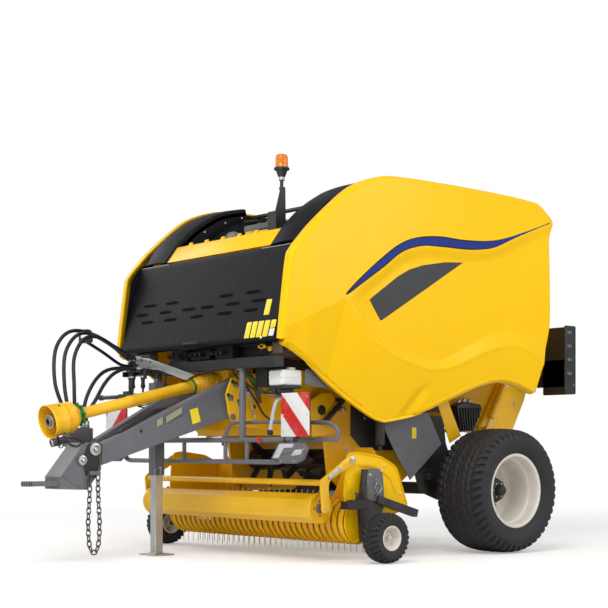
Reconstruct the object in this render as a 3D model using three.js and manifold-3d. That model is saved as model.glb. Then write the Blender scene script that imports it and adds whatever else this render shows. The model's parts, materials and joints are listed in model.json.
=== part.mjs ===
// A belt-type round baler: a trailed farm machine that picks up swaths and rolls them into a round bale.
// Millimetres. +Z is up, -Y is the direction of travel, +X is the machine's left side.
// Everything is laid out from a point on the floor midway under the wheels; the finished group is then
// centred so that its origin is the middle of its own footprint.
import * as THREE from "three";
import { mergeVertices } from "three/addons/utils/BufferGeometryUtils.js";
import Module from "manifold-3d";

const wasm = await Module();
wasm.setup();

// ---------- driving dimensions ----------
const GAP = 0.3; // face-to-face gap between pieces that are bolted or seated on each other
const RUN = 6; // running clearance round moving pieces

const TRACK_HALF = 1175; // wheel centre from the middle plane
const TYRE_RADIUS = 510;
const TYRE_WIDTH = 500;
const RIM_RADIUS = 286; // bead seat
const RIM_FLANGE = 16; // flange height over the bead seat
const SPINDLE_RADIUS = 40;
const AXLE_BEAM = 100; // square section

const CHAMBER_HALF = 610; // inside of the chamber's side walls
const WALL = 30; // side wall, plate and stiffener together
const GATE_WALL = 25;
const GATE_PIVOT = { y: -300, z: 2800 };
const GATE_PIN_RADIUS = 30;
const BELT_COUNT = 4;
const BELT_GAP = 20;
const BELT_THICKNESS = 12;
const ROLLER_RADIUS = 60;

const PANEL_INSIDE = 1050; // where the side panels' rolled edge begins
const PANEL_OUTSIDE = 1150;
const PANEL_SKIN = 26;
const PANEL_EDGE = 32; // thickness of the rolled edge
const PANEL_HINGE_Z = 2962;

const HOOD_TOP = { y: -2050, z: 2362 };
const HOOD_FOOT = { y: -2250, z: 1640 };
const HOOD_SKIN = 20;
const HOOD_HALF = 1040;
const SHOULDER_INSIDE = 690;
const SHOULDER_SKIN = 12;

const RAIL_HEIGHT = 80;
const RAIL_Z = 1460;
const RAIL_WIDTH = 60;
const CROSS_FRONT = -2215;

const LEG_WIDTH = 76;
const LEG_REAR = { x: 250, y: -1980 };
const LEG_FRONT = { x: 45, y: -3150 };
const HITCH_RING = { y: -3690, z: 600, outer: 56, inner: 26, thickness: 34 };
const PTO_REAR = { y: -2128, z: 1372 };
const PTO_FRONT = { y: -3540, z: 1046 };
const PTO_TUBE_RADIUS = 46;
const PTO_CONE_RADIUS = 126;

const JACK = { x: -372, y: -2330, section: 90, wall: 8 };
const JACK_FOOT = 12;

const REEL = { y: -1490, z: 300 };
const TINE_RADIUS = 262;
const BAND_RADIUS = 168;
const BAND_THICKNESS = 5;
const BAND_COUNT = 16;
const SLOT_WIDTH = 36;
const PICKUP_HALF = 1130; // inside of the pick-up's side plates
const PICKUP_SIDE = 15;
const PICKUP_PIVOT = { y: -1180, z: 640 };

const GUARD_PIVOT = { y: -1600, z: 770 };
const GUARD_TUBE = { y: -1880, z: 600, radius: 24 };
const GUARD_ROLLER = { y: -1862, z: 408, radius: 116 };
const GUARD_ARM = 16;

const GAUGE = { x: 1420, y: -1500, radius: 190, width: 160, rim: 96 };
const ROTOR = { y: -1130, z: 760, radius: 230 };

// ---------- materials ----------
const paint = (color, roughness = 0.35, metalness = 0.1) =>
  new THREE.MeshStandardMaterial({ color, roughness, metalness });
const yellow = paint(0xf4c400);
const grey = paint(0x55565c, 0.5);
const black = paint(0x26272b, 0.45);
const rubber = paint(0x1d1d1f, 0.85, 0);
const wheelPaint = paint(0xe3dfd6, 0.4);
const steel = paint(0x9a9a98, 0.35, 0.9);
const plastic = paint(0xe0a512, 0.4, 0);
const amber = paint(0xff8a10, 0.15, 0);
const white = paint(0xe8e8e4, 0.4, 0);

// ---------- building blocks: each gives one closed solid in machine coordinates ----------
function toSolid(geometry) {
  const flat = geometry.index ? geometry.toNonIndexed() : geometry;
  const points = new THREE.BufferGeometry().setAttribute("position", flat.getAttribute("position"));
  const merged = mergeVertices(points, 1e-3);
  const make = (triangles) =>
    new wasm.Manifold(
      new wasm.Mesh({
        numProp: 3,
        vertProperties: new Float32Array(merged.getAttribute("position").array),
        triVerts: triangles,
      }),
    );
  const triangles = new Uint32Array(merged.index.array);
  const made = make(triangles);
  return made.volume() < 0 ? make(triangles.reverse()) : made;
}

function toGeometry(solid) {
  const mesh = solid.getMesh();
  const count = mesh.numProp;
  const positions = new Float32Array(mesh.numVert * 3);
  for (let i = 0; i < mesh.numVert; i++)
    positions.set(mesh.vertProperties.subarray(i * count, i * count + 3), i * 3);
  return new THREE.BufferGeometry()
    .setAttribute("position", new THREE.BufferAttribute(positions, 3))
    .setIndex(new THREE.BufferAttribute(mesh.triVerts, 1))
    .toNonIndexed();
}

const join = (...solids) => solids.flat().reduce((all, one) => all.add(one));
const cut = (solid, ...tools) => tools.flat().reduce((left, tool) => left.subtract(tool), solid);
const mirrored = (solid) => solid.mirror([1, 0, 0]);
const bothSides = (solid) => join(solid, mirrored(solid));

function block(x0, x1, y0, y1, z0, z1) {
  const box = new THREE.BoxGeometry(x1 - x0, y1 - y0, z1 - z0);
  return toSolid(box.translate((x0 + x1) / 2, (y0 + y1) / 2, (z0 + z1) / 2));
}

const shapeOf = (outline) => new THREE.Shape(outline.map(([u, v]) => new THREE.Vector2(u, v)));

// A plate with its outline in the YZ plane, from x0 to x1.
function sidePlate(outline, x0, x1) {
  const flat = new THREE.ExtrudeGeometry(shapeOf(outline), { depth: x1 - x0, bevelEnabled: false });
  const turn = new THREE.Matrix4().set(0, 0, 1, x0, 1, 0, 0, 0, 0, 1, 0, 0, 0, 0, 0, 1);
  return toSolid(flat.applyMatrix4(turn));
}

// A plate with its outline in the XZ plane, from y0 to y1.
function crossPlate(outline, y0, y1) {
  const flat = new THREE.ExtrudeGeometry(shapeOf(outline), { depth: y1 - y0, bevelEnabled: false });
  const turn = new THREE.Matrix4().set(1, 0, 0, 0, 0, 0, -1, y1, 0, 1, 0, 0, 0, 0, 0, 1);
  return toSolid(flat.applyMatrix4(turn));
}

// A plate with its outline in the XY plane, from z0 to z1.
function floorPlate(outline, z0, z1) {
  const flat = new THREE.ExtrudeGeometry(shapeOf(outline), { depth: z1 - z0, bevelEnabled: false });
  return toSolid(flat.translate(0, 0, z0));
}

// A round bar between two points.
function bar(from, to, radius, sides = 16, endRadius = radius) {
  const a = new THREE.Vector3(...from);
  const b = new THREE.Vector3(...to);
  const length = a.distanceTo(b);
  const geometry = new THREE.CylinderGeometry(endRadius, radius, length, sides).translate(0, length / 2, 0);
  const turn = new THREE.Quaternion().setFromUnitVectors(new THREE.Vector3(0, 1, 0), b.clone().sub(a).normalize());
  return toSolid(geometry.applyQuaternion(turn).translate(a.x, a.y, a.z));
}

// A square bar between two points of one YZ plane.
function strut(from, to, width, height) {
  const a = new THREE.Vector3(...from);
  const b = new THREE.Vector3(...to);
  const geometry = new THREE.BoxGeometry(width, a.distanceTo(b), height);
  const middle = a.clone().add(b).multiplyScalar(0.5);
  const turn = new THREE.Quaternion().setFromUnitVectors(new THREE.Vector3(0, 1, 0), b.clone().sub(a).normalize());
  return toSolid(geometry.applyQuaternion(turn).translate(middle.x, middle.y, middle.z));
}

// A ring or disc turned round an axis along X; the profile is [radius, x] pairs.
function turned(profile, centre, sides = 32) {
  const points = profile.map(([radius, along]) => new THREE.Vector2(radius, along));
  if (profile[0][0] > 0) points.push(points[0].clone());
  const geometry = new THREE.LatheGeometry(points, sides);
  return toSolid(geometry.rotateZ(-Math.PI / 2).translate(...centre));
}

// A round section carried along a smooth curve through the points.
function tube(points, radius, sides = 8, steps = 30) {
  const curve = new THREE.CatmullRomCurve3(points.map((p) => new THREE.Vector3(...p)));
  const ring = [];
  for (let i = 0; i < sides; i++) {
    const angle = (2 * Math.PI * i) / sides;
    ring.push([radius * Math.cos(angle), radius * Math.sin(angle)]);
  }
  const settings = { steps, extrudePath: curve, bevelEnabled: false };
  return toSolid(new THREE.ExtrudeGeometry(shapeOf(ring), settings));
}

// Points of an arc in the YZ plane, angles in degrees from +Y towards +Z.
function arc(centre, radius, from, to, steps) {
  const points = [];
  for (let i = 0; i <= steps; i++) {
    const angle = ((from + ((to - from) * i) / steps) * Math.PI) / 180;
    points.push([centre.y + radius * Math.cos(angle), centre.z + radius * Math.sin(angle)]);
  }
  return points;
}

// A smooth open line through a few points of the YZ plane, as a list of points.
function smooth(points, steps) {
  const curve = new THREE.SplineCurve(points.map(([u, v]) => new THREE.Vector2(u, v)));
  return curve.getPoints(steps).map((p) => [p.x, p.y]);
}

// A closed outline of a sheet of one thickness that follows an open line; positive thickness lies to its left.
function sheetOutline(line, thickness) {
  const shifted = line.map(([u, v], i) => {
    const [u0, v0] = line[Math.max(i - 1, 0)];
    const [u1, v1] = line[Math.min(i + 1, line.length - 1)];
    const length = Math.hypot(u1 - u0, v1 - v0);
    return [u - ((v1 - v0) / length) * thickness, v + ((u1 - u0) / length) * thickness];
  });
  return [...line, ...shifted.reverse()];
}

const baler = new THREE.Group();
function add(name, solid, material) {
  const mesh = new THREE.Mesh(toGeometry(solid), material);
  mesh.name = name;
  baler.add(mesh);
}
function addPair(name, leftSolid, material) {
  add(`${name}_left`, leftSolid, material);
  add(`${name}_right`, mirrored(leftSolid), material);
}

// ---------- wheels and axle ----------
const axleZ = TYRE_RADIUS;
const wheelInside = TRACK_HALF - TYRE_WIDTH / 2;

function tyre(radius, width, bead, centre, sides) {
  const half = width / 2;
  const shoulder = radius - width * 0.11;
  const profile = [
    [bead, -half * 0.84],
    [bead + RIM_FLANGE + 3, -half * 0.84],
    [bead + (radius - bead) * 0.45, -half],
    [shoulder, -half * 0.95],
    [radius, -half * 0.62],
    [radius, half * 0.62],
    [shoulder, half * 0.95],
    [bead + (radius - bead) * 0.45, half],
    [bead + RIM_FLANGE + 3, half * 0.84],
    [bead, half * 0.84],
  ];
  return turned(profile, centre, sides);
}

const wheelCentre = [TRACK_HALF, 0, axleZ];
const seatHalf = (TYRE_WIDTH / 2) * 0.84;
const discX = -90; // the disc lies inboard of the tyre's middle
const hubRadius = 105;
const rim = join(
  turned(
    [
      [RIM_RADIUS - GAP, -seatHalf - 2],
      [RIM_RADIUS + RIM_FLANGE, -seatHalf - 2],
      [RIM_RADIUS + RIM_FLANGE, -seatHalf - 14],
      [RIM_RADIUS - 16, -seatHalf - 14],
      [RIM_RADIUS - 60, discX - 30],
      [RIM_RADIUS - 60, discX + 60],
      [RIM_RADIUS - 14, seatHalf + 14],
      [RIM_RADIUS + RIM_FLANGE, seatHalf + 14],
      [RIM_RADIUS + RIM_FLANGE, seatHalf + 2],
      [RIM_RADIUS - GAP, seatHalf + 2],
      [RIM_RADIUS - 46, discX + 60],
      [RIM_RADIUS - 46, discX - 30],
    ],
    wheelCentre,
    28,
  ),
  turned(
    [
      [SPINDLE_RADIUS + 1, discX - 10],
      [RIM_RADIUS - 55, discX - 10],
      [RIM_RADIUS - 55, discX + 4],
      [hubRadius, discX + 4],
      [hubRadius - 20, discX + 60],
      [SPINDLE_RADIUS + 1, discX + 60],
    ],
    wheelCentre,
    28,
  ),
  turned(
    [
      [0, discX + 59],
      [hubRadius - 22, discX + 59],
      [hubRadius - 30, discX + 72],
      [0, discX + 78],
    ],
    wheelCentre,
    20,
  ),
);
addPair("tyre", tyre(TYRE_RADIUS, TYRE_WIDTH, RIM_RADIUS + 1, wheelCentre, 32), rubber);
addPair("wheel_rim", rim, wheelPaint);

const spindleEnd = TRACK_HALF + discX + 50;
const beamEnd = wheelInside - 25;
add(
  "axle_beam",
  join(
    block(-beamEnd, beamEnd, -AXLE_BEAM / 2, AXLE_BEAM / 2, axleZ - AXLE_BEAM / 2, axleZ + AXLE_BEAM / 2),
    bothSides(bar([beamEnd - 1, 0, axleZ], [spindleEnd, 0, axleZ], SPINDLE_RADIUS, 24)),
  ),
  black,
);

// ---------- frame ----------
const wallOutside = CHAMBER_HALF + WALL;
const railInside = wallOutside + GAP;
const railOutside = railInside + RAIL_WIDTH;
const railTop = RAIL_Z + RAIL_HEIGHT;
const axleTop = axleZ + AXLE_BEAM / 2 + GAP;
const crossRear = CROSS_FRONT + 80;
const sidePlateOutline = [
  [-1000, railTop],
  [-330, railTop],
  [-150, 1180],
  [-110, 900],
  [-20, 700],
  [90, axleTop],
  [-110, axleTop],
  [-520, 640],
  [-720, 860],
];
const HOSE_PLATE = { x: -640, y: -2330, z: 1580 };
add(
  "main_frame",
  join(
    block(-1000, 1000, CROSS_FRONT, crossRear, RAIL_Z, railTop),
    bothSides(
      join(
        block(railInside, railOutside, crossRear - 1, -330, RAIL_Z, railTop),
        sidePlate(sidePlateOutline, railOutside - 20, railOutside),
      ),
    ),
    block(-780, -470, HOSE_PLATE.y, HOSE_PLATE.y + 12, 1455, 1612),
    block(-700, -660, HOSE_PLATE.y + 11, CROSS_FRONT + 1, 1470, 1500),
  ),
  grey,
);

// ---------- chamber ----------
const rotorFloor = ROTOR.z - ROTOR.radius - 40;
const wallOutline = [
  ...smooth([[-1930, 1660], [-1900, 2130], [-1700, 2520], [-1330, 2780], [-900, 2850]], 12),
  [-260, 2850],
  [-230, 2740],
  [-190, 1320],
  [-120, 1000],
  [-330, 760],
  [-700, rotorFloor],
  [ROTOR.y - 60, rotorFloor],
  [ROTOR.y - 250, 640],
  [-1420, 940],
  [-1640, 1000],
];
const pinEnd = wallOutside + GAP * 2 + GATE_WALL + 30;
const RAM_BASE = { y: -600, z: 2300 };
const RAM_EYE = { y: 0, z: 2400 }; // on the tailgate
const RAM_PIN_RADIUS = 20;
const RAM_EYE_PIN_RADIUS = 12;
const RAM_EYE_PLAY = 16; // the rod's eye follows the tailgate's pin only roughly
const ramInside = wallOutside + GATE_WALL + 24;
const ramOutside = ramInside + 40;
const chamberSide = join(
  sidePlate(wallOutline, CHAMBER_HALF, wallOutside),
  bar([wallOutside - 1, GATE_PIVOT.y, GATE_PIVOT.z], [pinEnd, GATE_PIVOT.y, GATE_PIVOT.z], GATE_PIN_RADIUS),
  bar([wallOutside - 1, RAM_BASE.y, RAM_BASE.z], [ramInside - GAP, RAM_BASE.y, RAM_BASE.z], 30),
  bar([wallOutside - 1, RAM_BASE.y, RAM_BASE.z], [ramOutside + 8, RAM_BASE.y, RAM_BASE.z], RAM_PIN_RADIUS),
);
const frontWallTop = 1440;
const bracketInside = LEG_REAR.x + LEG_WIDTH + GAP;
const bracketOutline = [
  [-2170, 1270],
  [-2120, 1400],
  [-2030, frontWallTop],
  [-1745, frontWallTop],
  [-1745, 1000],
  [-2090, 1030],
  [-2140, 1120],
];
add(
  "chamber",
  join(
    bothSides(chamberSide),
    block(-CHAMBER_HALF - 1, CHAMBER_HALF + 1, -1750, -1700, 960, frontWallTop),
    block(-CHAMBER_HALF - 1, CHAMBER_HALF + 1, -1701, -1420, 960, 990),
    bothSides(sidePlate(bracketOutline, bracketInside, bracketInside + 22)),
  ),
  yellow,
);

// Belts that follow a line in the YZ plane; the rollers that carry them lie to the left of the line.
function beltSet(line, rollerAt, end) {
  const half = CHAMBER_HALF - RUN;
  const width = (2 * half - BELT_GAP * (BELT_COUNT + 1)) / BELT_COUNT;
  const section = sheetOutline(line, -BELT_THICKNESS);
  const strips = [];
  for (let i = 0; i < BELT_COUNT; i++) {
    const x = -half + BELT_GAP + i * (width + BELT_GAP);
    strips.push(sidePlate(section, x, x + width));
  }
  const rollers = rollerAt.map((i) => {
    const [u0, v0] = line[Math.max(i - 1, 0)];
    const [u1, v1] = line[Math.min(i + 1, line.length - 1)];
    const length = Math.hypot(u1 - u0, v1 - v0);
    const y = line[i][0] - ((v1 - v0) / length) * (ROLLER_RADIUS - 5);
    const z = line[i][1] + ((u1 - u0) / length) * (ROLLER_RADIUS - 5);
    return bar([-end, y, z], [end, y, z], ROLLER_RADIUS, 12);
  });
  return join(strips, rollers);
}
const frontBeltLine = [
  [-430, 2790],
  [-1000, 2740],
  ...smooth([[-1330, 2600], [-1640, 2300], [-1740, 1960], [-1660, 1620], [-1480, 1320]], 7),
];
add("front_belts", beltSet(frontBeltLine, [0, 1, 4, 7, 9], CHAMBER_HALF - GAP), rubber);

// ---------- gearbox and drive shaft ----------
const gearboxFront = PTO_REAR.y + 60;
add(
  "gearbox",
  join(
    block(-150, 150, gearboxFront + 60, -1750 - GAP, 1180, 1500),
    bar([0, gearboxFront, PTO_REAR.z], [0, gearboxFront + 70, PTO_REAR.z], 90, 20),
    bar([0, gearboxFront - 55, PTO_REAR.z], [0, gearboxFront + 10, PTO_REAR.z], 26, 16),
  ),
  yellow,
);

const ptoVector = new THREE.Vector3(0, PTO_FRONT.y - PTO_REAR.y, PTO_FRONT.z - PTO_REAR.z);
const ptoLength = ptoVector.length();
function alongShaft(distance) {
  const p = ptoVector.clone().multiplyScalar(distance / ptoLength);
  return [0, PTO_REAR.y + p.y, PTO_REAR.z + p.z];
}
const shaftGuard = cut(
  join(
    bar(alongShaft(60), alongShaft(ptoLength - 200), PTO_TUBE_RADIUS, 20),
    bar(alongShaft(130), alongShaft(-90), 52, 20, 80),
    bar(alongShaft(ptoLength - 270), alongShaft(ptoLength - 210), 60, 24, PTO_CONE_RADIUS - 10),
    bar(alongShaft(ptoLength - 211), alongShaft(ptoLength), PTO_CONE_RADIUS - 10, 24, PTO_CONE_RADIUS),
  ),
  bar(alongShaft(70), alongShaft(-100), 42, 16, 72),
  bar(alongShaft(50), alongShaft(ptoLength - 150), PTO_TUBE_RADIUS - 6, 20),
  bar(alongShaft(ptoLength - 190), alongShaft(ptoLength + 20), PTO_CONE_RADIUS - 18, 24, PTO_CONE_RADIUS - 8),
  block(-200, 200, gearboxFront - GAP, gearboxFront + 300, PTO_REAR.z - 300, PTO_REAR.z + 300),
);
add("drive_shaft_guard", shaftGuard, plastic);
const driveShaft = join(
  cut(bar(alongShaft(-6), alongShaft(60), 38, 16), bar(alongShaft(-20), alongShaft(24), 31, 16)),
  bar(alongShaft(40), alongShaft(ptoLength - 90), 28, 16),
  bar(alongShaft(90), alongShaft(120), PTO_TUBE_RADIUS - 6.8, 20),
  bar(alongShaft(ptoLength - 250), alongShaft(ptoLength - 220), PTO_TUBE_RADIUS - 6.8, 20),
  cut(bar(alongShaft(ptoLength - 120), alongShaft(ptoLength - 20), 44, 16), bar(alongShaft(ptoLength - 60), alongShaft(ptoLength), 24, 16)),
);
add("drive_shaft", driveShaft, steel);

// ---------- drawbar ----------
const legSlope = (LEG_REAR.x - LEG_FRONT.x) / (LEG_REAR.y - LEG_FRONT.y);
// The straight rear stretch and the leaning front stretch meet at LEG_REAR.y.
const legOutline = [
  [-1790, 1412],
  [LEG_REAR.y, 1412],
  [-2060, 1412],
  [LEG_FRONT.y, 892],
  [LEG_FRONT.y, 732],
  [-2740, 872],
  [-2030, 1118],
  [LEG_REAR.y, 1118],
  [-1790, 1118],
];
function drawbarLeg() {
  return sidePlate(legOutline, 0, LEG_WIDTH).warp((v) => {
    v[0] += LEG_REAR.x + Math.min(v[1] - LEG_REAR.y, 0) * legSlope;
  });
}
addPair("drawbar_leg", drawbarLeg(), grey);

const headTop = LEG_FRONT.y - GAP;
const headOutline = [
  [headTop, 900],
  [-3290, 900],
  [-3495, 650],
  [-3495, 560],
  [-3270, 552],
  [headTop, 700],
];
const tongueOutline = [
  [-90, -3500],
  [-60, HITCH_RING.y],
  ...arc({ y: 0, z: 0 }, HITCH_RING.outer, 180, 360, 10).map(([u, v]) => [u, v + HITCH_RING.y]),
  [60, HITCH_RING.y],
  [90, -3500],
  [90, -3470],
  [-90, -3470],
];
const ringBottom = HITCH_RING.z - HITCH_RING.thickness / 2;
const ringTop = HITCH_RING.z + HITCH_RING.thickness / 2;
const rackTop = 1010 + GAP; // the hoses' couplers stand on the rack
const HOSE_RACK_REAR = -3060;
add(
  "drawbar_head",
  join(
    sidePlate(headOutline, -110, 110),
    cut(
      floorPlate(tongueOutline, ringBottom, ringTop),
      bar([0, HITCH_RING.y, ringBottom - 5], [0, HITCH_RING.y, ringTop + 5], HITCH_RING.inner, 20),
    ),
    bar([-130, -3215, 850], [130, -3215, 850], 34, 16),
    bar([-126, -3320, 770], [126, -3320, 770], 26, 16),
    block(-250, -100, -3240, -3180, 840, 870),
    block(-260, -150, -3262, HOSE_RACK_REAR, 869, rackTop - GAP),
    block(112, 150, -3270, -3180, 660, 690).add(block(100, 120, -3270, -3180, 660, 690)),
  ),
  grey,
);

// ---------- parking jack ----------
const jackHalf = JACK.section / 2;
const jackOuterBottom = 640;
const jackOuterTop = 1380;
const legHalf = jackHalf - JACK.wall - 0.6;
const legXAt = (y) => LEG_REAR.x + (y - LEG_REAR.y) * legSlope + LEG_WIDTH;
const jackBracketInner = -legXAt(JACK.y) - 10;
add(
  "jack_tube",
  join(
    cut(
      block(
        JACK.x - jackHalf,
        JACK.x + jackHalf,
        JACK.y - jackHalf,
        JACK.y + jackHalf,
        jackOuterBottom,
        jackOuterTop,
      ),
      block(
        JACK.x - jackHalf + JACK.wall,
        JACK.x + jackHalf - JACK.wall,
        JACK.y - jackHalf + JACK.wall,
        JACK.y + jackHalf - JACK.wall,
        jackOuterBottom - 1,
        jackOuterTop - 12,
      ),
    ),
    cut(
      block(JACK.x + jackHalf - 1, jackBracketInner + 30, JACK.y - 60, JACK.y + 60, 1130, 1200),
      mirrored(drawbarLeg()).translate([-GAP * 2, 0, 0]),
      mirrored(drawbarLeg()),
    ),
    bar([JACK.x, JACK.y, jackOuterTop - 1], [JACK.x, JACK.y, jackOuterTop + 40], 16),
  ),
  grey,
);
add(
  "jack_leg",
  join(
    block(JACK.x - legHalf, JACK.x + legHalf, JACK.y - legHalf, JACK.y + legHalf, JACK_FOOT - 1, 880),
    block(JACK.x - 110, JACK.x + 110, JACK.y - 95, JACK.y + 95, 0, JACK_FOOT),
  ),
  steel,
);

// ---------- front hood, crossbeam and shoulder covers ----------
const hoodLine = [
  [HOOD_FOOT.y + 26, HOOD_FOOT.z - 6],
  [HOOD_FOOT.y, HOOD_FOOT.z + 8],
  [HOOD_FOOT.y + 6, HOOD_FOOT.z + 40],
  [HOOD_TOP.y - 18, HOOD_TOP.z - 60],
  [HOOD_TOP.y, HOOD_TOP.z],
];
const hoodSection = sheetOutline(hoodLine, -HOOD_SKIN);
const hoodEnd = [
  [HOOD_FOOT.y + 26, HOOD_FOOT.z + 10],
  [HOOD_TOP.y + 10, HOOD_TOP.z - 26],
  [HOOD_TOP.y + 60, HOOD_TOP.z - 50],
  [HOOD_FOOT.y + 90, HOOD_FOOT.z + 10],
];
const HOOD_PIVOT = { y: HOOD_TOP.y + 40, z: HOOD_TOP.z - 10 };
const HOOD_PIN_RADIUS = 8;
const hoodLugX = 480;
const hoodLug = cut(
  sidePlate(
    [
      [HOOD_TOP.y + 5, HOOD_TOP.z - 50],
      [HOOD_TOP.y + 10, HOOD_TOP.z + 2],
      [HOOD_PIVOT.y + 14, HOOD_PIVOT.z + 12],
      [HOOD_PIVOT.y + 16, HOOD_PIVOT.z - 14],
    ],
    hoodLugX,
    hoodLugX + 12,
  ),
  bar(
    [hoodLugX - 5, HOOD_PIVOT.y, HOOD_PIVOT.z],
    [hoodLugX + 17, HOOD_PIVOT.y, HOOD_PIVOT.z],
    HOOD_PIN_RADIUS + 0.8,
    12,
  ),
);
add(
  "front_hood",
  join(
    sidePlate(hoodSection, -HOOD_HALF, HOOD_HALF),
    bothSides(sidePlate(hoodEnd, HOOD_HALF - 20, HOOD_HALF)),
    bothSides(hoodLug),
  ),
  black,
);

// The curve over the front shoulders, from the hood's fold to the crest.
const shoulderLine = smooth(
  [
    [-2022, 2403],
    [-1900, 2560],
    [-1720, 2725],
    [-1480, 2868],
    [-1180, 2948],
  ],
  10,
);
const SHOULDER_SIDE = 330; // depth of the cover's inner side
const shoulderLow = shoulderLine[0][1]; // the hood's top edge swings under this height
const shoulderDrop = shoulderLine
  .slice(1)
  .map(([y, z]) => [y, Math.max(z - SHOULDER_SIDE, shoulderLow)])
  .reverse();
const coverOutside = PANEL_INSIDE - RUN - 4;
const ROOF = { front: -1180, rear: 470, low: 2868, high: 2930, inside: 960, outside: 1020 };
const shoulder = join(
  sidePlate(sheetOutline(shoulderLine, SHOULDER_SKIN), SHOULDER_INSIDE, coverOutside),
  sidePlate([...shoulderLine, ...shoulderDrop], SHOULDER_INSIDE, SHOULDER_INSIDE + SHOULDER_SKIN),
  block(wallOutside + GAP, SHOULDER_INSIDE + 1, -1560, -1400, 2560, 2640),
  block(wallOutside + GAP, SHOULDER_INSIDE + 1, -1790, -1730, 2380, 2440),
);
addPair("shoulder_cover", shoulder, black);

const crossbeamEnd = SHOULDER_INSIDE - GAP;
add(
  "front_crossbeam",
  join(
    sidePlate(
      [
        [-2010, 2403],
        [-1905, 2540],
        [-1860, 2550],
        [-1850, 2530],
        [-1880, 2515],
        [-1960, 2405],
        [-1955, 2330],
        [-1968, 2330],
        [-1975, 2403],
      ],
      -crossbeamEnd,
      crossbeamEnd,
    ),
    bothSides(
      join(
        sidePlate(
          [
            [-1966, 2335],
            [-1966, 2385],
            [HOOD_PIVOT.y + 6, HOOD_PIVOT.z + 16],
            [HOOD_PIVOT.y - 14, HOOD_PIVOT.z + 4],
            [HOOD_PIVOT.y - 10, HOOD_PIVOT.z - 14],
          ],
          hoodLugX + 14,
          hoodLugX + 26,
        ),
        bar(
          [hoodLugX - 4, HOOD_PIVOT.y, HOOD_PIVOT.z],
          [hoodLugX + 20, HOOD_PIVOT.y, HOOD_PIVOT.z],
          HOOD_PIN_RADIUS,
          12,
        ),
      ),
    ),
  ),
  yellow,
);

// A light frame over the chamber carries the hinges of both side panels.
const PANEL_PIVOT = { x: 1030, z: PANEL_HINGE_Z };
const hingeSpots = [-1000, -250, 380];
const crossSpots = [-1120, -420];
add(
  "roof_frame",
  join(
    bothSides(block(ROOF.inside, ROOF.outside, ROOF.front, ROOF.rear, ROOF.low, ROOF.high)),
    crossSpots.map((y) => block(-ROOF.inside - 1, ROOF.inside + 1, y, y + 60, ROOF.low, ROOF.high)),
    crossSpots.map((y) => bothSides(block(CHAMBER_HALF, wallOutside, y, y + 60, 2850 + GAP, ROOF.low + 1))),
    hingeSpots.map((y) =>
      bothSides(
        join(
          crossPlate(
            [
              [ROOF.outside - 30, ROOF.high - 1],
              [PANEL_PIVOT.x - 14, PANEL_PIVOT.z + 10],
              [PANEL_PIVOT.x + 2, PANEL_PIVOT.z + 12],
              [PANEL_PIVOT.x + 12, PANEL_PIVOT.z - 8],
              [ROOF.outside - 1, ROOF.high - 20],
            ],
            y,
            y + 12,
          ),
          bar([PANEL_PIVOT.x, y + 6, PANEL_PIVOT.z], [PANEL_PIVOT.x, y + 36, PANEL_PIVOT.z], 7, 12),
        ),
      ),
    ),
  ),
  black,
);

// ---------- beacon ----------
const MAST_INSET = 110; // from the chamber wall
const MAST = { x: CHAMBER_HALF - MAST_INSET, y: -1755 };
add(
  "beacon_mast",
  join(
    block(MAST.x - 50, MAST.x + 50, MAST.y - 90, MAST.y - 82, 2450, 2700),
    block(MAST.x - 40, MAST.x + 40, MAST.y - 83, MAST.y + 40, 2440, 2470),
    sidePlate(
      [
        [MAST.y - 84, 2450],
        [MAST.y - 84, 2700],
        [MAST.y - 30, 2890],
        [MAST.y + 14, 2890],
        [MAST.y + 20, 2470],
      ],
      MAST.x + 32,
      MAST.x + 40,
    ),
    block(MAST.x + 39, CHAMBER_HALF - GAP, MAST.y - 30, MAST.y + 10, 2452, 2468),
    bar([MAST.x + 20, MAST.y - 8, 2885], [MAST.x + 20, MAST.y - 8, 2960], 14, 12),
    block(MAST.x + 6, MAST.x + 40, MAST.y - 22, MAST.y + 6, 2870, 2895),
    bar([MAST.x + 20, MAST.y - 8, 2959], [MAST.x + 20, MAST.y - 8, 3030], 18, 16, 46),
    bar([MAST.x + 20, MAST.y - 8, 3029], [MAST.x + 20, MAST.y - 8, 3046], 62, 24, 58),
  ),
  black,
);
add(
  "beacon_lamp",
  join(
    bar([MAST.x + 20, MAST.y - 8, 3046 + GAP], [MAST.x + 20, MAST.y - 8, 3140], 54, 24, 48),
    bar([MAST.x + 20, MAST.y - 8, 3139], [MAST.x + 20, MAST.y - 8, 3152], 48, 24, 34),
  ),
  amber,
);

// ---------- side panels ----------
const panelOutline = [
  [-2252, 1640],
  [-2166, 2262],
  [-2104, 2366],
  ...smooth([[-2040, 2450], [-1745, 2705], [-1480, 2885], [-1100, 2975], [-620, 2990]], 10),
  [60, 2984],
  [610, 2956],
  [800, 2826],
  [765, 2670],
  [775, 1960],
  [660, 1570],
  [560, 1300],
  ...smooth([[430, 1370], [190, 1410], [-60, 1390], [-190, 1340]], 5),
  [-790, 1125],
  [-1180, 1060],
  ...smooth([[-1330, 1110], [-1640, 1275], [-2010, 1520]], 4),
];
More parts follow.
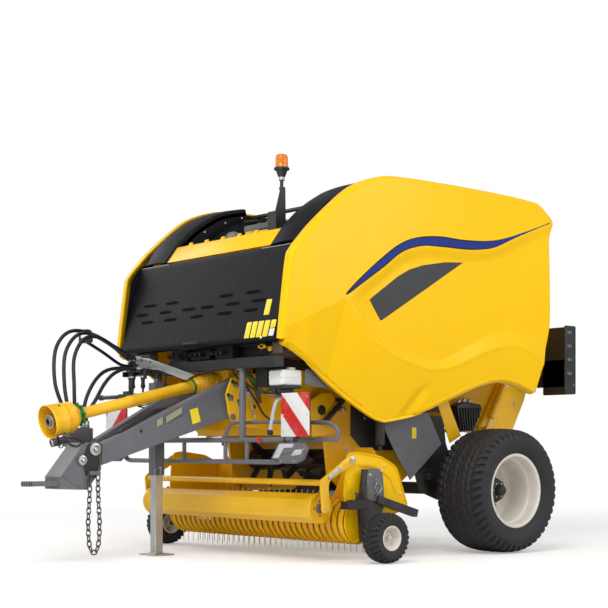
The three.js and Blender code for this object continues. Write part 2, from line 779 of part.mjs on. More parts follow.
// The same outline moved inwards by one distance, found from the bisector at each corner.
function inset(outline, distance) {
  const area = outline.reduce((sum, [u, v], i) => {
    const [u1, v1] = outline[(i + 1) % outline.length];
    return sum + u * v1 - u1 * v;
  }, 0);
  const side = Math.sign(area);
  return outline.map(([u, v], i) => {
    const before = outline[(i + outline.length - 1) % outline.length];
    const after = outline[(i + 1) % outline.length];
    const edge = (a, b) => {
      const length = Math.hypot(b[0] - a[0], b[1] - a[1]);
      return [(-(b[1] - a[1]) / length) * side, ((b[0] - a[0]) / length) * side];
    };
    const [n0, n1] = [edge(before, [u, v]), edge([u, v], after)];
    const sum = [n0[0] + n1[0], n0[1] + n1[1]];
    const scale = (2 * distance) / (sum[0] ** 2 + sum[1] ** 2);
    return [u + sum[0] * scale, v + sum[1] * scale];
  });
}
const panel = cut(
  sidePlate(panelOutline, PANEL_INSIDE, PANEL_OUTSIDE),
  sidePlate(inset(panelOutline, PANEL_EDGE), PANEL_INSIDE - 5, PANEL_OUTSIDE - PANEL_SKIN),
);
const panelLugs = hingeSpots.map((y) =>
  cut(
    block(PANEL_PIVOT.x - 13, PANEL_INSIDE + 1, y + 16, y + 30, PANEL_PIVOT.z - 13, PANEL_PIVOT.z + 13),
    bar([PANEL_PIVOT.x, y + 10, PANEL_PIVOT.z], [PANEL_PIVOT.x, y + 40, PANEL_PIVOT.z], 7.8, 12),
  ),
);
addPair("side_panel", join(panel, panelLugs), yellow);

// ---------- tailgate ----------
const gateInside = wallOutside + 2 * GAP;
const gateOutside = gateInside + GATE_WALL;
const gateOutline = [
  ...arc(GATE_PIVOT, 75, 200, 90, 4),
  [200, 2885],
  ...smooth([[560, 2830], [850, 2620], [1010, 2280], [1050, 1900], [1010, 1560], [930, 1290]], 12),
  [770, 1010],
  [420, 960],
  [60, 1010],
  [-60, 1300],
  [-150, 2500],
  [-320, 2720],
];
const gateHole = bar(
  [gateInside - 5, GATE_PIVOT.y, GATE_PIVOT.z],
  [gateOutside + 5, GATE_PIVOT.y, GATE_PIVOT.z],
  GATE_PIN_RADIUS + 1,
);
const gateEnd = gateInside - GAP;
const gateSide = join(
  cut(sidePlate(gateOutline, gateInside, gateOutside), gateHole),
  bar([gateOutside - 1, RAM_EYE.y, RAM_EYE.z], [ramInside - GAP, RAM_EYE.y, RAM_EYE.z], 30),
  bar([gateOutside - 1, RAM_EYE.y, RAM_EYE.z], [ramOutside + 8, RAM_EYE.y, RAM_EYE.z], RAM_EYE_PIN_RADIUS),
  bar([gateOutside + 24, 330, 1030], [gateOutside + 24, 640, 1486], 32, 14),
  block(gateOutside - 1, gateOutside + 40, 300, 360, 1000, 1060),
  block(gateOutside - 1, gateOutside + 40, 610, 670, 1456, 1516),
);
const coverLine = [
  [120, 2868],
  ...smooth([[540, 2815], [820, 2608], [978, 2280]], 8),
];
add(
  "tailgate",
  join(
    bothSides(gateSide),
    sidePlate(sheetOutline(coverLine, -8), -gateInside - 1, gateInside + 1),
    block(-gateInside - 1, gateInside + 1, 900, 990, 1420, 1520),
    block(-gateInside - 1, gateInside + 1, 400, 520, 1000, 1030),
  ),
  yellow,
);

const gateBeltLine = [
  ...smooth([[640, 1200], [860, 1560], [900, 2000], [820, 2420], [600, 2680], [300, 2780]], 9),
  [-60, 2760],
];
add("tailgate_belts", beltSet(gateBeltLine, [0, 3, 6, 8, 10], gateEnd), rubber);

const LIGHT_BAR = { y: 1075, half: 1120 };
add(
  "rear_light_bar",
  join(
    block(-LIGHT_BAR.half, LIGHT_BAR.half, LIGHT_BAR.y, LIGHT_BAR.y + 16, 1400, 1640),
    bothSides(block(760, LIGHT_BAR.half, LIGHT_BAR.y, LIGHT_BAR.y + 16, 1330, 1930)),
    bothSides(block(LIGHT_BAR.half - 12, LIGHT_BAR.half, LIGHT_BAR.y - 130, LIGHT_BAR.y + 1, 1330, 1930)),
    bothSides(block(gateOutside + GAP, gateOutside + 60, 940, LIGHT_BAR.y + 1, 1440, 1500)),
    block(-60, 60, 990 + GAP, LIGHT_BAR.y + 1, 1440, 1500),
  ),
  black,
);

// ---------- tailgate rams ----------
const ramX = (ramInside + ramOutside) / 2;
const ramLength = Math.hypot(RAM_EYE.y - RAM_BASE.y, RAM_EYE.z - RAM_BASE.z);
const ramDirection = { y: (RAM_EYE.y - RAM_BASE.y) / ramLength, z: (RAM_EYE.z - RAM_BASE.z) / ramLength };
const onRam = (distance) => [ramX, RAM_BASE.y + ramDirection.y * distance, RAM_BASE.z + ramDirection.z * distance];
const barrelLength = ramLength - 110;
const RAM_BORE = 16;
function ramEye(distance, holeRadius, wall) {
  const [, y, z] = onRam(distance);
  return cut(
    bar([ramInside, y, z], [ramOutside, y, z], holeRadius + wall, 20),
    bar([ramInside - 5, y, z], [ramOutside + 5, y, z], holeRadius, 20),
  );
}
addPair(
  "ram_barrel",
  join(
    ramEye(0, RAM_PIN_RADIUS + 0.8, 17),
    cut(bar(onRam(34), onRam(barrelLength), 34, 20), bar(onRam(60), onRam(barrelLength + 5), RAM_BORE, 16)),
  ),
  yellow,
);
const rodEyeHole = RAM_EYE_PIN_RADIUS + RAM_EYE_PLAY;
const rod = join(
  ramEye(ramLength, rodEyeHole, 14),
  bar(onRam(80), onRam(ramLength - rodEyeHole - 4), RAM_BORE - 0.6, 16),
);
addPair("ram_rod", rod, steel);

// ---------- feed rotor ----------
const rotorHalf = CHAMBER_HALF - RUN - 4;
const rotorTine = (angle) => {
  const solid = sidePlate(
    [
      [60, -24],
      [ROTOR.radius - 40, -30],
      [ROTOR.radius, 22],
      [60, 34],
    ],
    -5,
    5,
  );
  return solid.rotate([angle, 0, 0]);
};
const ROTOR_STARS = 9;
const stars = [];
for (let i = 0; i < ROTOR_STARS; i++) {
  const x = -rotorHalf + 70 + (i * (2 * rotorHalf - 140)) / (ROTOR_STARS - 1);
  for (const turn of [0, 120, 240]) stars.push(rotorTine(turn + i * 26).translate([x, ROTOR.y, ROTOR.z]));
}
add(
  "feed_rotor",
  join(
    bar([-rotorHalf, ROTOR.y, ROTOR.z], [rotorHalf, ROTOR.y, ROTOR.z], 90, 18),
    bothSides(bar([rotorHalf - 1, ROTOR.y, ROTOR.z], [CHAMBER_HALF - GAP, ROTOR.y, ROTOR.z], 30, 16)),
    stars,
  ),
  black,
);

// ---------- pick-up ----------
const sideOutline = [
  ...arc(REEL, BAND_RADIUS + 4, 250, 150, 6),
  [GUARD_PIVOT.y - 70, 500],
  [GUARD_PIVOT.y - 46, GUARD_PIVOT.z + 10],
  [GUARD_PIVOT.y - 20, GUARD_PIVOT.z + 52],
  [GUARD_PIVOT.y + 60, GUARD_PIVOT.z + 62],
  [-1290, 800],
  [-1120, 720],
  [-990, 400],
  [-1180, 330],
];
const pickupSideOutside = PICKUP_HALF + PICKUP_SIDE;
const reelBearing = bar([PICKUP_HALF - 5, REEL.y, REEL.z], [pickupSideOutside + 5, REEL.y, REEL.z], 31, 16);
const guardPin = bar(
  [pickupSideOutside - 1, GUARD_PIVOT.y, GUARD_PIVOT.z],
  [pickupSideOutside + GUARD_ARM + 8, GUARD_PIVOT.y, GUARD_PIVOT.z],
  18,
);
addPair("pickup_side", join(cut(sidePlate(sideOutline, PICKUP_HALF, pickupSideOutside), reelBearing), guardPin), yellow);

// Stripper bands wrap round the front of the reel and are carried by a rear beam and tray.
const bandLine = [
  [-1200, 452],
  [REEL.y + 20, REEL.z + BAND_RADIUS],
  ...arc(REEL, BAND_RADIUS, 95, 265, 7),
  [REEL.y + 60, REEL.z - BAND_RADIUS],
  [-1290, 196],
];
const bandSection = sheetOutline(bandLine, -BAND_THICKNESS);
const bandPitch = (2 * PICKUP_HALF) / BAND_COUNT;
const bands = [];
for (let i = 0; i < BAND_COUNT; i++) {
  const x0 = -PICKUP_HALF + i * bandPitch + (i === 0 ? GAP : SLOT_WIDTH / 2);
  const x1 = -PICKUP_HALF + (i + 1) * bandPitch - (i === BAND_COUNT - 1 ? GAP : SLOT_WIDTH / 2);
  bands.push(sidePlate(bandSection, x0, x1));
}
const beamEndX = PICKUP_HALF - GAP;
const pivotArm = bothSides(
  join(
    sidePlate(
      [
        [-1205, 190],
        [-1205, 460],
        [PICKUP_PIVOT.y - 40, PICKUP_PIVOT.z + 30],
        [PICKUP_PIVOT.y + 40, PICKUP_PIVOT.z + 30],
        [-1130, 200],
      ],
      wallOutside + 20,
      wallOutside + 44,
    ),
    bar(
      [wallOutside + 0.5 + GAP, PICKUP_PIVOT.y, PICKUP_PIVOT.z],
      [wallOutside + 60, PICKUP_PIVOT.y, PICKUP_PIVOT.z],
      30,
      16,
    ),
  ),
);
add(
  "pickup_bands",
  join(
    bands,
    block(-beamEndX, beamEndX, -1222, -1195, 190, 458),
    sidePlate(
      [
        [-1200, 452],
        [-1198, 446],
        [-1150, 446],
        [-1150, 452],
      ],
      -PICKUP_HALF + GAP,
      PICKUP_HALF - GAP,
    ),
    pivotArm,
  ),
  yellow,
);

// The reel: a shaft with discs, four tine bars and the tines in the slots between the bands.
const BAR_CIRCLE = 118;
const reelHalf = PICKUP_HALF - RUN;
const reelParts = [
  bar([-pickupSideOutside, REEL.y, REEL.z], [pickupSideOutside, REEL.y, REEL.z], 30, 16),
  bothSides(bar([reelHalf - 12, REEL.y, REEL.z], [reelHalf, REEL.y, REEL.z], BAR_CIRCLE + 18, 20)),
];
for (let k = 0; k < 4; k++) {
  const angle = (k * Math.PI) / 2 + Math.PI / 4;
  const [cy, cz] = [Math.cos(angle), Math.sin(angle)];
  const at = (r) => [REEL.y + r * cy, REEL.z + r * cz];
  reelParts.push(bar([-reelHalf + 1, ...at(BAR_CIRCLE)], [reelHalf - 1, ...at(BAR_CIRCLE)], 16, 8));
  for (let i = 1; i < BAND_COUNT; i++) {
    const x = -PICKUP_HALF + i * bandPitch;
    reelParts.push(bar([x, ...at(BAR_CIRCLE)], [x, ...at(TINE_RADIUS)], 5, 4));
  }
}
add("pickup_reel", join(reelParts), steel);

// ---------- wind guard ----------
const armInside = pickupSideOutside + GAP;
const armOutside = armInside + GUARD_ARM;
const armOutline = [
  [GUARD_PIVOT.y + 34, GUARD_PIVOT.z - 10],
  [GUARD_PIVOT.y + 22, GUARD_PIVOT.z + 34],
  [GUARD_PIVOT.y - 30, GUARD_PIVOT.z + 30],
  [GUARD_TUBE.y + 30, GUARD_TUBE.z + 60],
  [GUARD_TUBE.y - 40, GUARD_TUBE.z + 20],
  [GUARD_ROLLER.y - 40, GUARD_ROLLER.z + 20],
  [GUARD_ROLLER.y - 34, GUARD_ROLLER.z - 34],
  [GUARD_ROLLER.y + 34, GUARD_ROLLER.z - 34],
  [GUARD_ROLLER.y + 36, GUARD_ROLLER.z + 30],
  [GUARD_TUBE.y + 44, GUARD_TUBE.z - 20],
  [GUARD_TUBE.y + 60, GUARD_TUBE.z + 20],
  [GUARD_PIVOT.y - 10, GUARD_PIVOT.z - 44],
];
const armHole = bar(
  [armInside - 5, GUARD_PIVOT.y, GUARD_PIVOT.z],
  [armOutside + 5, GUARD_PIVOT.y, GUARD_PIVOT.z],
  19,
);
const rollerHole = bar(
  [armInside - 5, GUARD_ROLLER.y, GUARD_ROLLER.z],
  [armOutside + 5, GUARD_ROLLER.y, GUARD_ROLLER.z],
  15,
);
add(
  "wind_guard",
  join(
    bothSides(cut(sidePlate(armOutline, armInside, armOutside), armHole, rollerHole)),
    bar([-armInside - 1, GUARD_TUBE.y, GUARD_TUBE.z], [armInside + 1, GUARD_TUBE.y, GUARD_TUBE.z], GUARD_TUBE.radius),
  ),
  yellow,
);
const rollerEnd = PICKUP_HALF - 30;
const ROLLER_WALL = 6;
const ROLLER_DISC = 12;
const rollerCentre = [0, GUARD_ROLLER.y, GUARD_ROLLER.z];
const rollerShell = turned(
  [
    [GUARD_ROLLER.radius - ROLLER_WALL, -rollerEnd],
    [GUARD_ROLLER.radius, -rollerEnd],
    [GUARD_ROLLER.radius, rollerEnd],
    [GUARD_ROLLER.radius - ROLLER_WALL, rollerEnd],
  ],
  rollerCentre,
  16,
);
const discHoles = [45, 135, 225, 315].map((angle) => {
  const [[y, z]] = arc(GUARD_ROLLER, GUARD_ROLLER.radius / 2, angle, angle, 1);
  return bar([rollerEnd - ROLLER_DISC - 5, y, z], [rollerEnd + 5, y, z], 22, 10);
});
const rollerDisc = cut(
  bar(
    [rollerEnd - ROLLER_DISC, GUARD_ROLLER.y, GUARD_ROLLER.z],
    [rollerEnd, GUARD_ROLLER.y, GUARD_ROLLER.z],
    GUARD_ROLLER.radius - ROLLER_WALL + 1,
    16,
  ),
  discHoles,
);
const rollerShaft = bar([-armOutside, GUARD_ROLLER.y, GUARD_ROLLER.z], [armOutside, GUARD_ROLLER.y, GUARD_ROLLER.z], 14, 12);
add("guard_roller", join(rollerShell, bothSides(rollerDisc), rollerShaft), yellow);

// ---------- gauge wheels ----------
const gaugeAxleInside = armOutside + 8;
const gaugeHalf = GAUGE.width / 2;
const gaugeCentre = [GAUGE.x, GAUGE.y, GAUGE.radius];
const gaugeWheel = join(
  tyre(GAUGE.radius, GAUGE.width, GAUGE.rim - 2, gaugeCentre, 20),
  turned(
    [
      [17, -30],
      [GAUGE.rim - 20, -20],
      [GAUGE.rim - 6, -gaugeHalf * 0.8],
      [GAUGE.rim, -gaugeHalf * 0.8],
      [GAUGE.rim, gaugeHalf * 0.8],
      [GAUGE.rim - 6, gaugeHalf * 0.8],
      [GAUGE.rim - 20, 20],
      [50, 24],
      [40, 40],
      [17, 40],
    ],
    gaugeCentre,
    20,
  ),
);
addPair("gauge_wheel", gaugeWheel, rubber);
const hangerX = gaugeAxleInside + 40;
const gaugeBracket = join(
  bar([gaugeAxleInside, GAUGE.y, GAUGE.radius], [GAUGE.x + 30, GAUGE.y, GAUGE.radius], 16, 16),
  sidePlate(
    [
      [GAUGE.y - 40, GAUGE.radius - 40],
      [GAUGE.y - 60, 400],
      [GAUGE.y - 20, 700],
      [GAUGE.y + 160, 690],
      [GAUGE.y + 190, 420],
      [GAUGE.y + 50, GAUGE.radius - 40],
    ],
    gaugeAxleInside,
    hangerX,
  ),
  block(gaugeAxleInside, hangerX + 60, GAUGE.y - 230, GAUGE.y - 30, 400, 460),
  block(pickupSideOutside + GAP, gaugeAxleInside + 1, GAUGE.y + 60, GAUGE.y + 160, 420, 640),
  strut([hangerX - 1, GAUGE.y + 100, 470], [hangerX - 1, GAUGE.y + 520, 350], 60, 60),
);
addPair("gauge_bracket", gaugeBracket, black);

// ---------- side shields ----------
const SHIELD = { x: 880, thickness: 8 };
const shield = join(
  sidePlate(
    [[-1060, 1100], [-510, 1150], [-360, 890], [-720, 600], [-900, 840]],
    SHIELD.x,
    SHIELD.x + SHIELD.thickness,
  ),
  block(railOutside + GAP, SHIELD.x + 1, -640, -600, 1000, 1040),
  block(railOutside + GAP, SHIELD.x + 1, -620, -580, 840, 880),
);
addPair("side_shield", shield, grey);

// ---------- front rails, marker boards, tank ----------
const RAILS = { y: -2180, upper: 920, lower: 755, radius: 20, half: 1180 };
const railPosts = [-700, -260, 0, 260, 700].map((x) =>
  bar([x, RAILS.y, RAILS.lower], [x, RAILS.y, RAILS.upper], 17, 8),
);
add(
  "front_rails",
  join(
    bar([-RAILS.half, RAILS.y, RAILS.upper], [RAILS.half, RAILS.y, RAILS.upper], RAILS.radius, 10),
    bar([-RAILS.half + 130, RAILS.y, RAILS.lower], [RAILS.half - 130, RAILS.y, RAILS.lower], RAILS.radius, 10),
    railPosts,
    bothSides(bar([RAILS.half - 140, RAILS.y, RAILS.lower], [RAILS.half - 8, RAILS.y, RAILS.upper], RAILS.radius, 10)),
    bothSides(bar([560, RAILS.y, RAILS.upper - 5], [560, RAILS.y, RAIL_Z - GAP], 26, 10)),
  ),
  grey,
);
const boardLow = RAILS.upper + RAILS.radius + GAP;
const markers = join(
  block(1030, 1350, RAILS.y - 8, RAILS.y + 4, boardLow, boardLow + 320),
  block(1060, 1100, RAILS.y + 3, RAILS.y + 14, boardLow, boardLow + 280),
);
addPair("marker_board", markers, white);
const lampTop = RAILS.upper - RAILS.radius - GAP;
const lamp = crossPlate(
  [
    [960, RAILS.lower + RAILS.radius + GAP],
    [1060, lampTop],
    [1075, lampTop],
    [1330, lampTop],
    [1370, 850],
    [1320, 770],
    [1240, 745],
    [1075, 745],
  ],
  RAILS.y - 60,
  RAILS.y - RAILS.radius - GAP,
);
addPair("marker_lamp", lamp, grey);

const TANK = { x: 900, y: -2010, z: 1300 };
add(
  "oil_tank",
  join(
    block(TANK.x - 90, TANK.x + 90, TANK.y - 70, TANK.y + 70, TANK.z, TANK.z + 130),
    bar([TANK.x + 30, TANK.y, TANK.z + 129], [TANK.x + 30, TANK.y, TANK.z + 159.7], 36, 16),
    block(TANK.x - 90, TANK.x + 90, TANK.y - 130, TANK.y - 60, TANK.z + 40, TANK.z + 159.7),
  ),
  white,
);

// ---------- hoses and chain ----------
const HOSE_RADIUS = 12;
const hoseRoutes = [
  [
    [-690, HOSE_PLATE.y - GAP, 1585],
    [-690, -2390, 1585],
    [-610, -2620, 1690],
    [-500, -2900, 1765],
    [-400, -3130, 1745],
    [-310, -3290, 1600],
    [-250, -3330, 1350],
    [-233, -3262, 1140],
    [-235, -3235, 1060],
    [-235, -3235, rackTop],
  ],
  [
    [-640, HOSE_PLATE.y - GAP, 1585],
    [-640, -2390, 1585],
    [-570, -2620, 1680],
    [-460, -2880, 1750],
    [-360, -3080, 1720],
    [-270, -3230, 1570],
    [-215, -3270, 1340],
    [-190, -3250, 1140],
    [-185, -3235, 1060],
    [-185, -3235, rackTop],
  ],
  [
    [-590, HOSE_PLATE.y - GAP, 1585],
    [-590, -2390, 1585],
    [-530, -2620, 1665],
    [-420, -2850, 1725],
    [-320, -3040, 1690],
    [-240, -3170, 1540],
    [-190, -3200, 1320],
    [-190, -3195, 1140],
    [-190, -3188, 1060],
    [-190, -3188, rackTop],
  ],
  [
    [-640, HOSE_PLATE.y - GAP, 1500],
    [-640, -2380, 1500],
    [-570, -2560, 1500],
    [-450, -2760, 1465],
    [-330, -2930, 1380],
    [-255, -3050, 1250],
    [-232, -3095, 1120],
    [-232, -3095, rackTop],
  ],
  [
    [-590, HOSE_PLATE.y - GAP, 1500],
    [-590, -2380, 1500],
    [-520, -2540, 1490],
    [-400, -2720, 1440],
    [-280, -2880, 1350],
    [-205, -3000, 1230],
    [-182, -3095, 1110],
    [-182, -3095, rackTop],
  ],
];
hoseRoutes.forEach((route, i) => add(`hose_${i + 1}`, tube(route, HOSE_RADIUS, 8, 22), rubber));

// A bent arm on the hose plate carries the arch of the three long hoses in a clamp.
const CLAMP = { y: -2950, thickness: 30 };
const armFoot = HOSE_PLATE.y - GAP;
add(
  "hose_arm",
  join(
    block(-778, -730, armFoot - 12, armFoot, 1480, 1580),
    tube([[-754, armFoot - 6, 1530], [-745, -2440, 1545], [-620, -2680, 1625], [-440, CLAMP.y, 1690]], 13, 8, 12),
    cut(
      block(-520, -350, CLAMP.y - CLAMP.thickness / 2, CLAMP.y + CLAMP.thickness / 2, 1675, 1795),
      hoseRoutes.slice(0, 3).map((route) => tube(route, HOSE_RADIUS + GAP, 8, 22)),
    ),
  ),
  black,
);

const chainX = 131;
const chainTop = 660 - GAP;
add(
  "safety_chain",
  tube(
    [
      [chainX, -3262, chainTop],
      [chainX, -3262, 520],
      [chainX, -3275, 300],
      [chainX, -3262, 140],
      [chainX, -3225, 86],
      [chainX, -3190, 140],
      [chainX, -3178, 300],
      [chainX, -3190, 520],
      [chainX, -3190, chainTop],
    ],
    7,
    6,
    26,
  ),
  steel,
);

// ---------- centre the machine on its own footprint ----------
const footprint = new THREE.Box3().setFromObject(baler);
const middle = footprint.getCenter(new THREE.Vector3());
baler.position.set(-middle.x, -middle.y, -footprint.min.z);

export default baler;
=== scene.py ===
import json
import math
import bmesh
import bpy
import numpy as np
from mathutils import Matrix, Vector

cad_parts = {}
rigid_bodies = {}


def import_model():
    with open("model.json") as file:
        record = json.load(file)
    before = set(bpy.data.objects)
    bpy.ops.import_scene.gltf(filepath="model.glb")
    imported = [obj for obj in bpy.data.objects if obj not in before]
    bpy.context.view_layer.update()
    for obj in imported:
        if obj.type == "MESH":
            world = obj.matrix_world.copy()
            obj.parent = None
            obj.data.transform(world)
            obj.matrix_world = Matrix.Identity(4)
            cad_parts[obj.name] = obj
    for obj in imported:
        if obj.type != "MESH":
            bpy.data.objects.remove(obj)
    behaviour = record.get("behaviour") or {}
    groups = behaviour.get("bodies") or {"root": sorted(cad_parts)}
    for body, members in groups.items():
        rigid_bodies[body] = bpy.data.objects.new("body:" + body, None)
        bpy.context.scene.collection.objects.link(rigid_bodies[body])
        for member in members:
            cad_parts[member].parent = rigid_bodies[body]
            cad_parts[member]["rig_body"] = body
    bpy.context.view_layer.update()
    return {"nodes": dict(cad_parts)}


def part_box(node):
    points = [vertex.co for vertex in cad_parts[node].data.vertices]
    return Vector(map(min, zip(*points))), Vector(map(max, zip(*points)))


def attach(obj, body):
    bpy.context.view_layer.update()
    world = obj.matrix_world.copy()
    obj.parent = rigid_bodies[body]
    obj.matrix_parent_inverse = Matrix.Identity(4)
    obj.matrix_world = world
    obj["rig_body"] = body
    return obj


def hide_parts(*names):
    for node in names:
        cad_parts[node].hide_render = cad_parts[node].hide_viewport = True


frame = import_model()

# Everything is laid out from the floor point midway between the wheels: front is -Y, the machine's left is +X.
axleY = sum(corner[1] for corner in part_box("tyre_left")) / 2
print("frame loaded, axle at y =", round(axleY, 4))

cameraView = {"turn": 49.722, "place": (8.957, -8.684, 0.859), "focal": 1398.25 / 608, "horizon": (447.97 - 304) / 608}


def makeCamera(v):
    lens = bpy.data.cameras.new("camera")
    lens.sensor_width = 36.0
    lens.lens = 36.0 * v["focal"]
    lens.shift_y = v["horizon"]
    lens.clip_end = 200
    camera = bpy.data.objects.new("camera", lens)
    bpy.context.scene.collection.objects.link(camera)
    x, y, z = v["place"]
    camera.location = (x, y + axleY, z)
    camera.rotation_euler = (math.radians(90), 0, math.radians(v["turn"]))
    bpy.context.scene.camera = camera


makeCamera(cameraView)


# A shape is its points, its quads and its end caps.
def gridQuads(rows, columns, roundRows=False, roundColumns=False):
    # the quads between neighbouring points of a grid, row after row
    r, c = np.meshgrid(np.arange(rows - (not roundRows)), np.arange(columns - (not roundColumns)), indexing="ij")
    r, c = r.ravel(), c.ravel()
    rNext, cNext = (r + 1) % rows, (c + 1) % columns
    return np.stack([r * columns + c, r * columns + cNext, rNext * columns + cNext, rNext * columns + c], 1)


def gridShape(points, roundRows=False, roundColumns=False, capped=False):
    # points is rows by columns by 3; the caps close the first and the last row
    rows, columns = points.shape[:2]
    caps = [list(range(columns))[::-1], list(range((rows - 1) * columns, rows * columns))] if capped else []
    return points.reshape(-1, 3), gridQuads(rows, columns, roundRows, roundColumns), caps


def join(*shapes):
    # several shapes as one, with their point numbers moved along
    start, points, quads, caps = 0, [], [], []
    for p, q, c in shapes:
        points.append(p)
        quads.append(q + start)
        caps += [[i + start for i in cap] for cap in c]
        start += len(p)
    return np.concatenate(points), np.concatenate(quads), caps


def mirrored(*shapes):
    points, quads, caps = join(*shapes)
    return points * np.array([-1, 1, 1]), quads, caps


left, ahead, behind, upward = (1, 0, 0), (0, -1, 0), (0, 1, 0), (0, 0, 1)
bothHands = (("left", join), ("right", mirrored))


def bothSides(*shapes):
    return join(*shapes, mirrored(*shapes))


def unit(vectors):
    return vectors / np.linalg.norm(vectors, axis=-1, keepdims=True)


def fullTurn(count):
    return np.linspace(0, 2 * math.pi, count, endpoint=False)


def outwardNormals(outline):
    # at each corner of a closed outline, the outward direction that keeps both edges at equal distance
    before, after = np.roll(outline, 1, 0), np.roll(outline, -1, 0)

    def edgeNormal(a, b):
        d = b - a
        n = np.stack([d[:, 1], -d[:, 0]], 1)
        return n / np.maximum(np.linalg.norm(n, axis=1, keepdims=True), 1e-9)

    area = np.sum(outline[:, 0] * after[:, 1] - after[:, 0] * outline[:, 1])
    total = edgeNormal(before, outline) + edgeNormal(outline, after)
    scale = 2 / np.maximum(np.sum(total**2, axis=1, keepdims=True), 0.8)
    return total * scale * np.sign(area)


def toSpace(flat, depth, axis):
    # an outline and its depth become points: x plates lie in YZ, y plates in XZ, z plates in XY
    d = np.broadcast_to(depth, flat.shape[:-1])
    u, v = flat[..., 0], flat[..., 1]
    return {"x": np.stack([d, u, v], -1), "y": np.stack([u, d, v], -1), "z": np.stack([u, v, d], -1)}[axis]


def plate(outline, low, high, axis="x", bevel=0.003, steps=2):
    # an outline carried from low to high, its rims rounded by rings that draw in along a quarter circle
    outline = np.array(outline, float)
    normals = outwardNormals(outline)
    bevel = min(bevel, (high - low) * 0.45)
    a = np.linspace(0, math.pi / 2, steps + 1)
    inset, depth = bevel * (1 - np.sin(a)), bevel * (1 - np.cos(a))
    insets = np.concatenate([inset, inset[::-1]])
    depths = np.concatenate([low + depth, high - depth[::-1]])
    rings = outline[None] - normals[None] * insets[:, None, None]
    return gridShape(toSpace(rings, depths[:, None], axis), roundColumns=True, capped=True)


def oblong(u0, u1, v0, v1):
    return [(u0, v0), (u1, v0), (u1, v1), (u0, v1)]


def block(x0, x1, y0, y1, z0, z1, bevel=0.004):
    return plate(oblong(y0, y1, z0, z1), x0, x1, "x", bevel)


def turned(profile, origin, direction, segments=32, closed=False):
    # a profile of (radius, distance) pairs turned round the line from origin along direction
    profile = np.array(profile, float)
    direction = unit(np.array(direction, float))
    side = np.cross(direction, (0, 0, 1) if abs(direction[2]) < 0.9 else (0, 1, 0))
    side = unit(side)
    other = np.cross(direction, side)
    a = fullTurn(segments)
    spoke = np.cos(a)[:, None] * side + np.sin(a)[:, None] * other
    points = np.array(origin) + profile[:, 1, None, None] * direction + profile[:, 0, None, None] * spoke[None]
    return gridShape(points, roundRows=closed, roundColumns=True)


def disc(origin, direction, radius, length, bevel=0.003, segments=24, inner=0.0):
    # a short bar with rounded rims, or a ring where it has an inner radius
    b = min(bevel, length * 0.4, radius * 0.5)
    if inner:
        c = min(b, (radius - inner) * 0.4)
        rim = [(inner, c), (inner + c, 0), (radius - c, 0), (radius, c), (radius, length - c), (radius - c, length),
            (inner + c, length), (inner, length - c)]
        return turned(rim, origin, direction, segments, closed=True)
    rim = [(0, 0), (radius - b, 0), (radius - b * 0.3, b * 0.3), (radius, b), (radius, length - b),
        (radius - b * 0.3, length - b * 0.3), (radius - b, length), (0, length)]
    return turned(rim, origin, direction, segments)


def rod(start, end, radius, bevel=0.002, segments=16):
    start, end = np.array(start, float), np.array(end, float)
    return disc(start, end - start, radius, float(np.linalg.norm(end - start)), bevel, segments)


def bolt(place, direction, size=0.012, washer=1.25):
    # a six-sided head with a domed top on a round washer
    head = [(0, size * 0.95), (size * 0.6, size * 0.93), (size * 0.95, size * 0.78), (size, size * 0.7),
        (size, size * 0.15), (0, size * 0.15)]
    return join(turned(head, place, direction, 6), disc(place, direction, size * washer, size * 0.2, 0.0006, 14))


def bolts(places, direction, size, washer=1.25):
    return join(*(bolt(place, direction, size, washer) for place in places))


def around(centre, radius, angle):
    # a point on an upright circle that faces sideways
    return centre[0], centre[1] + radius * math.cos(angle), centre[2] + radius * math.sin(angle)


def curve(points, count, closed=False):
    # a smooth line through the points: on each span a cubic whose tangents are half the step between its neighbours
    p = np.array(points, float)
    ends = (p[-1:], p[:2]) if closed else (2 * p[:1] - p[1:2], 2 * p[-1:] - p[-2:-1])
    q = np.concatenate([ends[0], p, ends[1]])
    spans = len(p) if closed else len(p) - 1
    t = np.linspace(0, spans, count, endpoint=not closed)
    i = np.minimum(t.astype(int), spans - 1)
    f = (t - i)[:, None]
    a, b, c, d = q[i], q[i + 1], q[i + 2], q[i + 3]
    return 0.5 * (2 * b + (c - a) * f + (2 * a - 5 * b + 4 * c - d) * f**2 + (3 * b - a - 3 * c + d) * f**3)


def along(path, profile, scale=None, closed=False, up=(0, 0, 1)):
    # a flat profile carried along a path: its frame leans with the path and never spins about it
    path = np.array(path, float)
    if closed:
        tangent = np.roll(path, -1, 0) - np.roll(path, 1, 0)
    else:
        tangent = np.gradient(path, axis=0)
    tangent = unit(tangent)
    side = np.cross(tangent, up)
    if np.linalg.norm(side, axis=1).min() < 0.05:
        side = carriedSide(tangent)
    side = unit(side)
    top = np.cross(side, tangent)
    scale = np.ones(len(path)) if scale is None else np.array(scale, float)
    profile = np.array(profile, float)
    points = path[:, None] + scale[:, None, None] * (profile[None, :, 0, None] * side[:, None] + profile[None, :, 1,
        None] * top[:, None])
    return gridShape(points, roundRows=closed, roundColumns=True, capped=not closed)


def carriedSide(tangent):
    # one side direction handed on from point to point, each time less its part along the tangent
    first = np.cross(tangent[0], (1, 0, 0) if abs(tangent[0][0]) < 0.8 else (0, 1, 0))
    sides = [unit(first)]
    for t in tangent[1:]:
        s = sides[-1] - t * (sides[-1] @ t)
        sides.append(unit(s))
    return np.array(sides)


def circle(radius, sides=12, squash=1.0):
    a = fullTurn(sides)
    return np.stack([radius * np.cos(a), radius * squash * np.sin(a)], 1)


def tube(path, radius, sides=12, scale=None, closed=False):
    return along(path, circle(radius, sides), scale, closed)


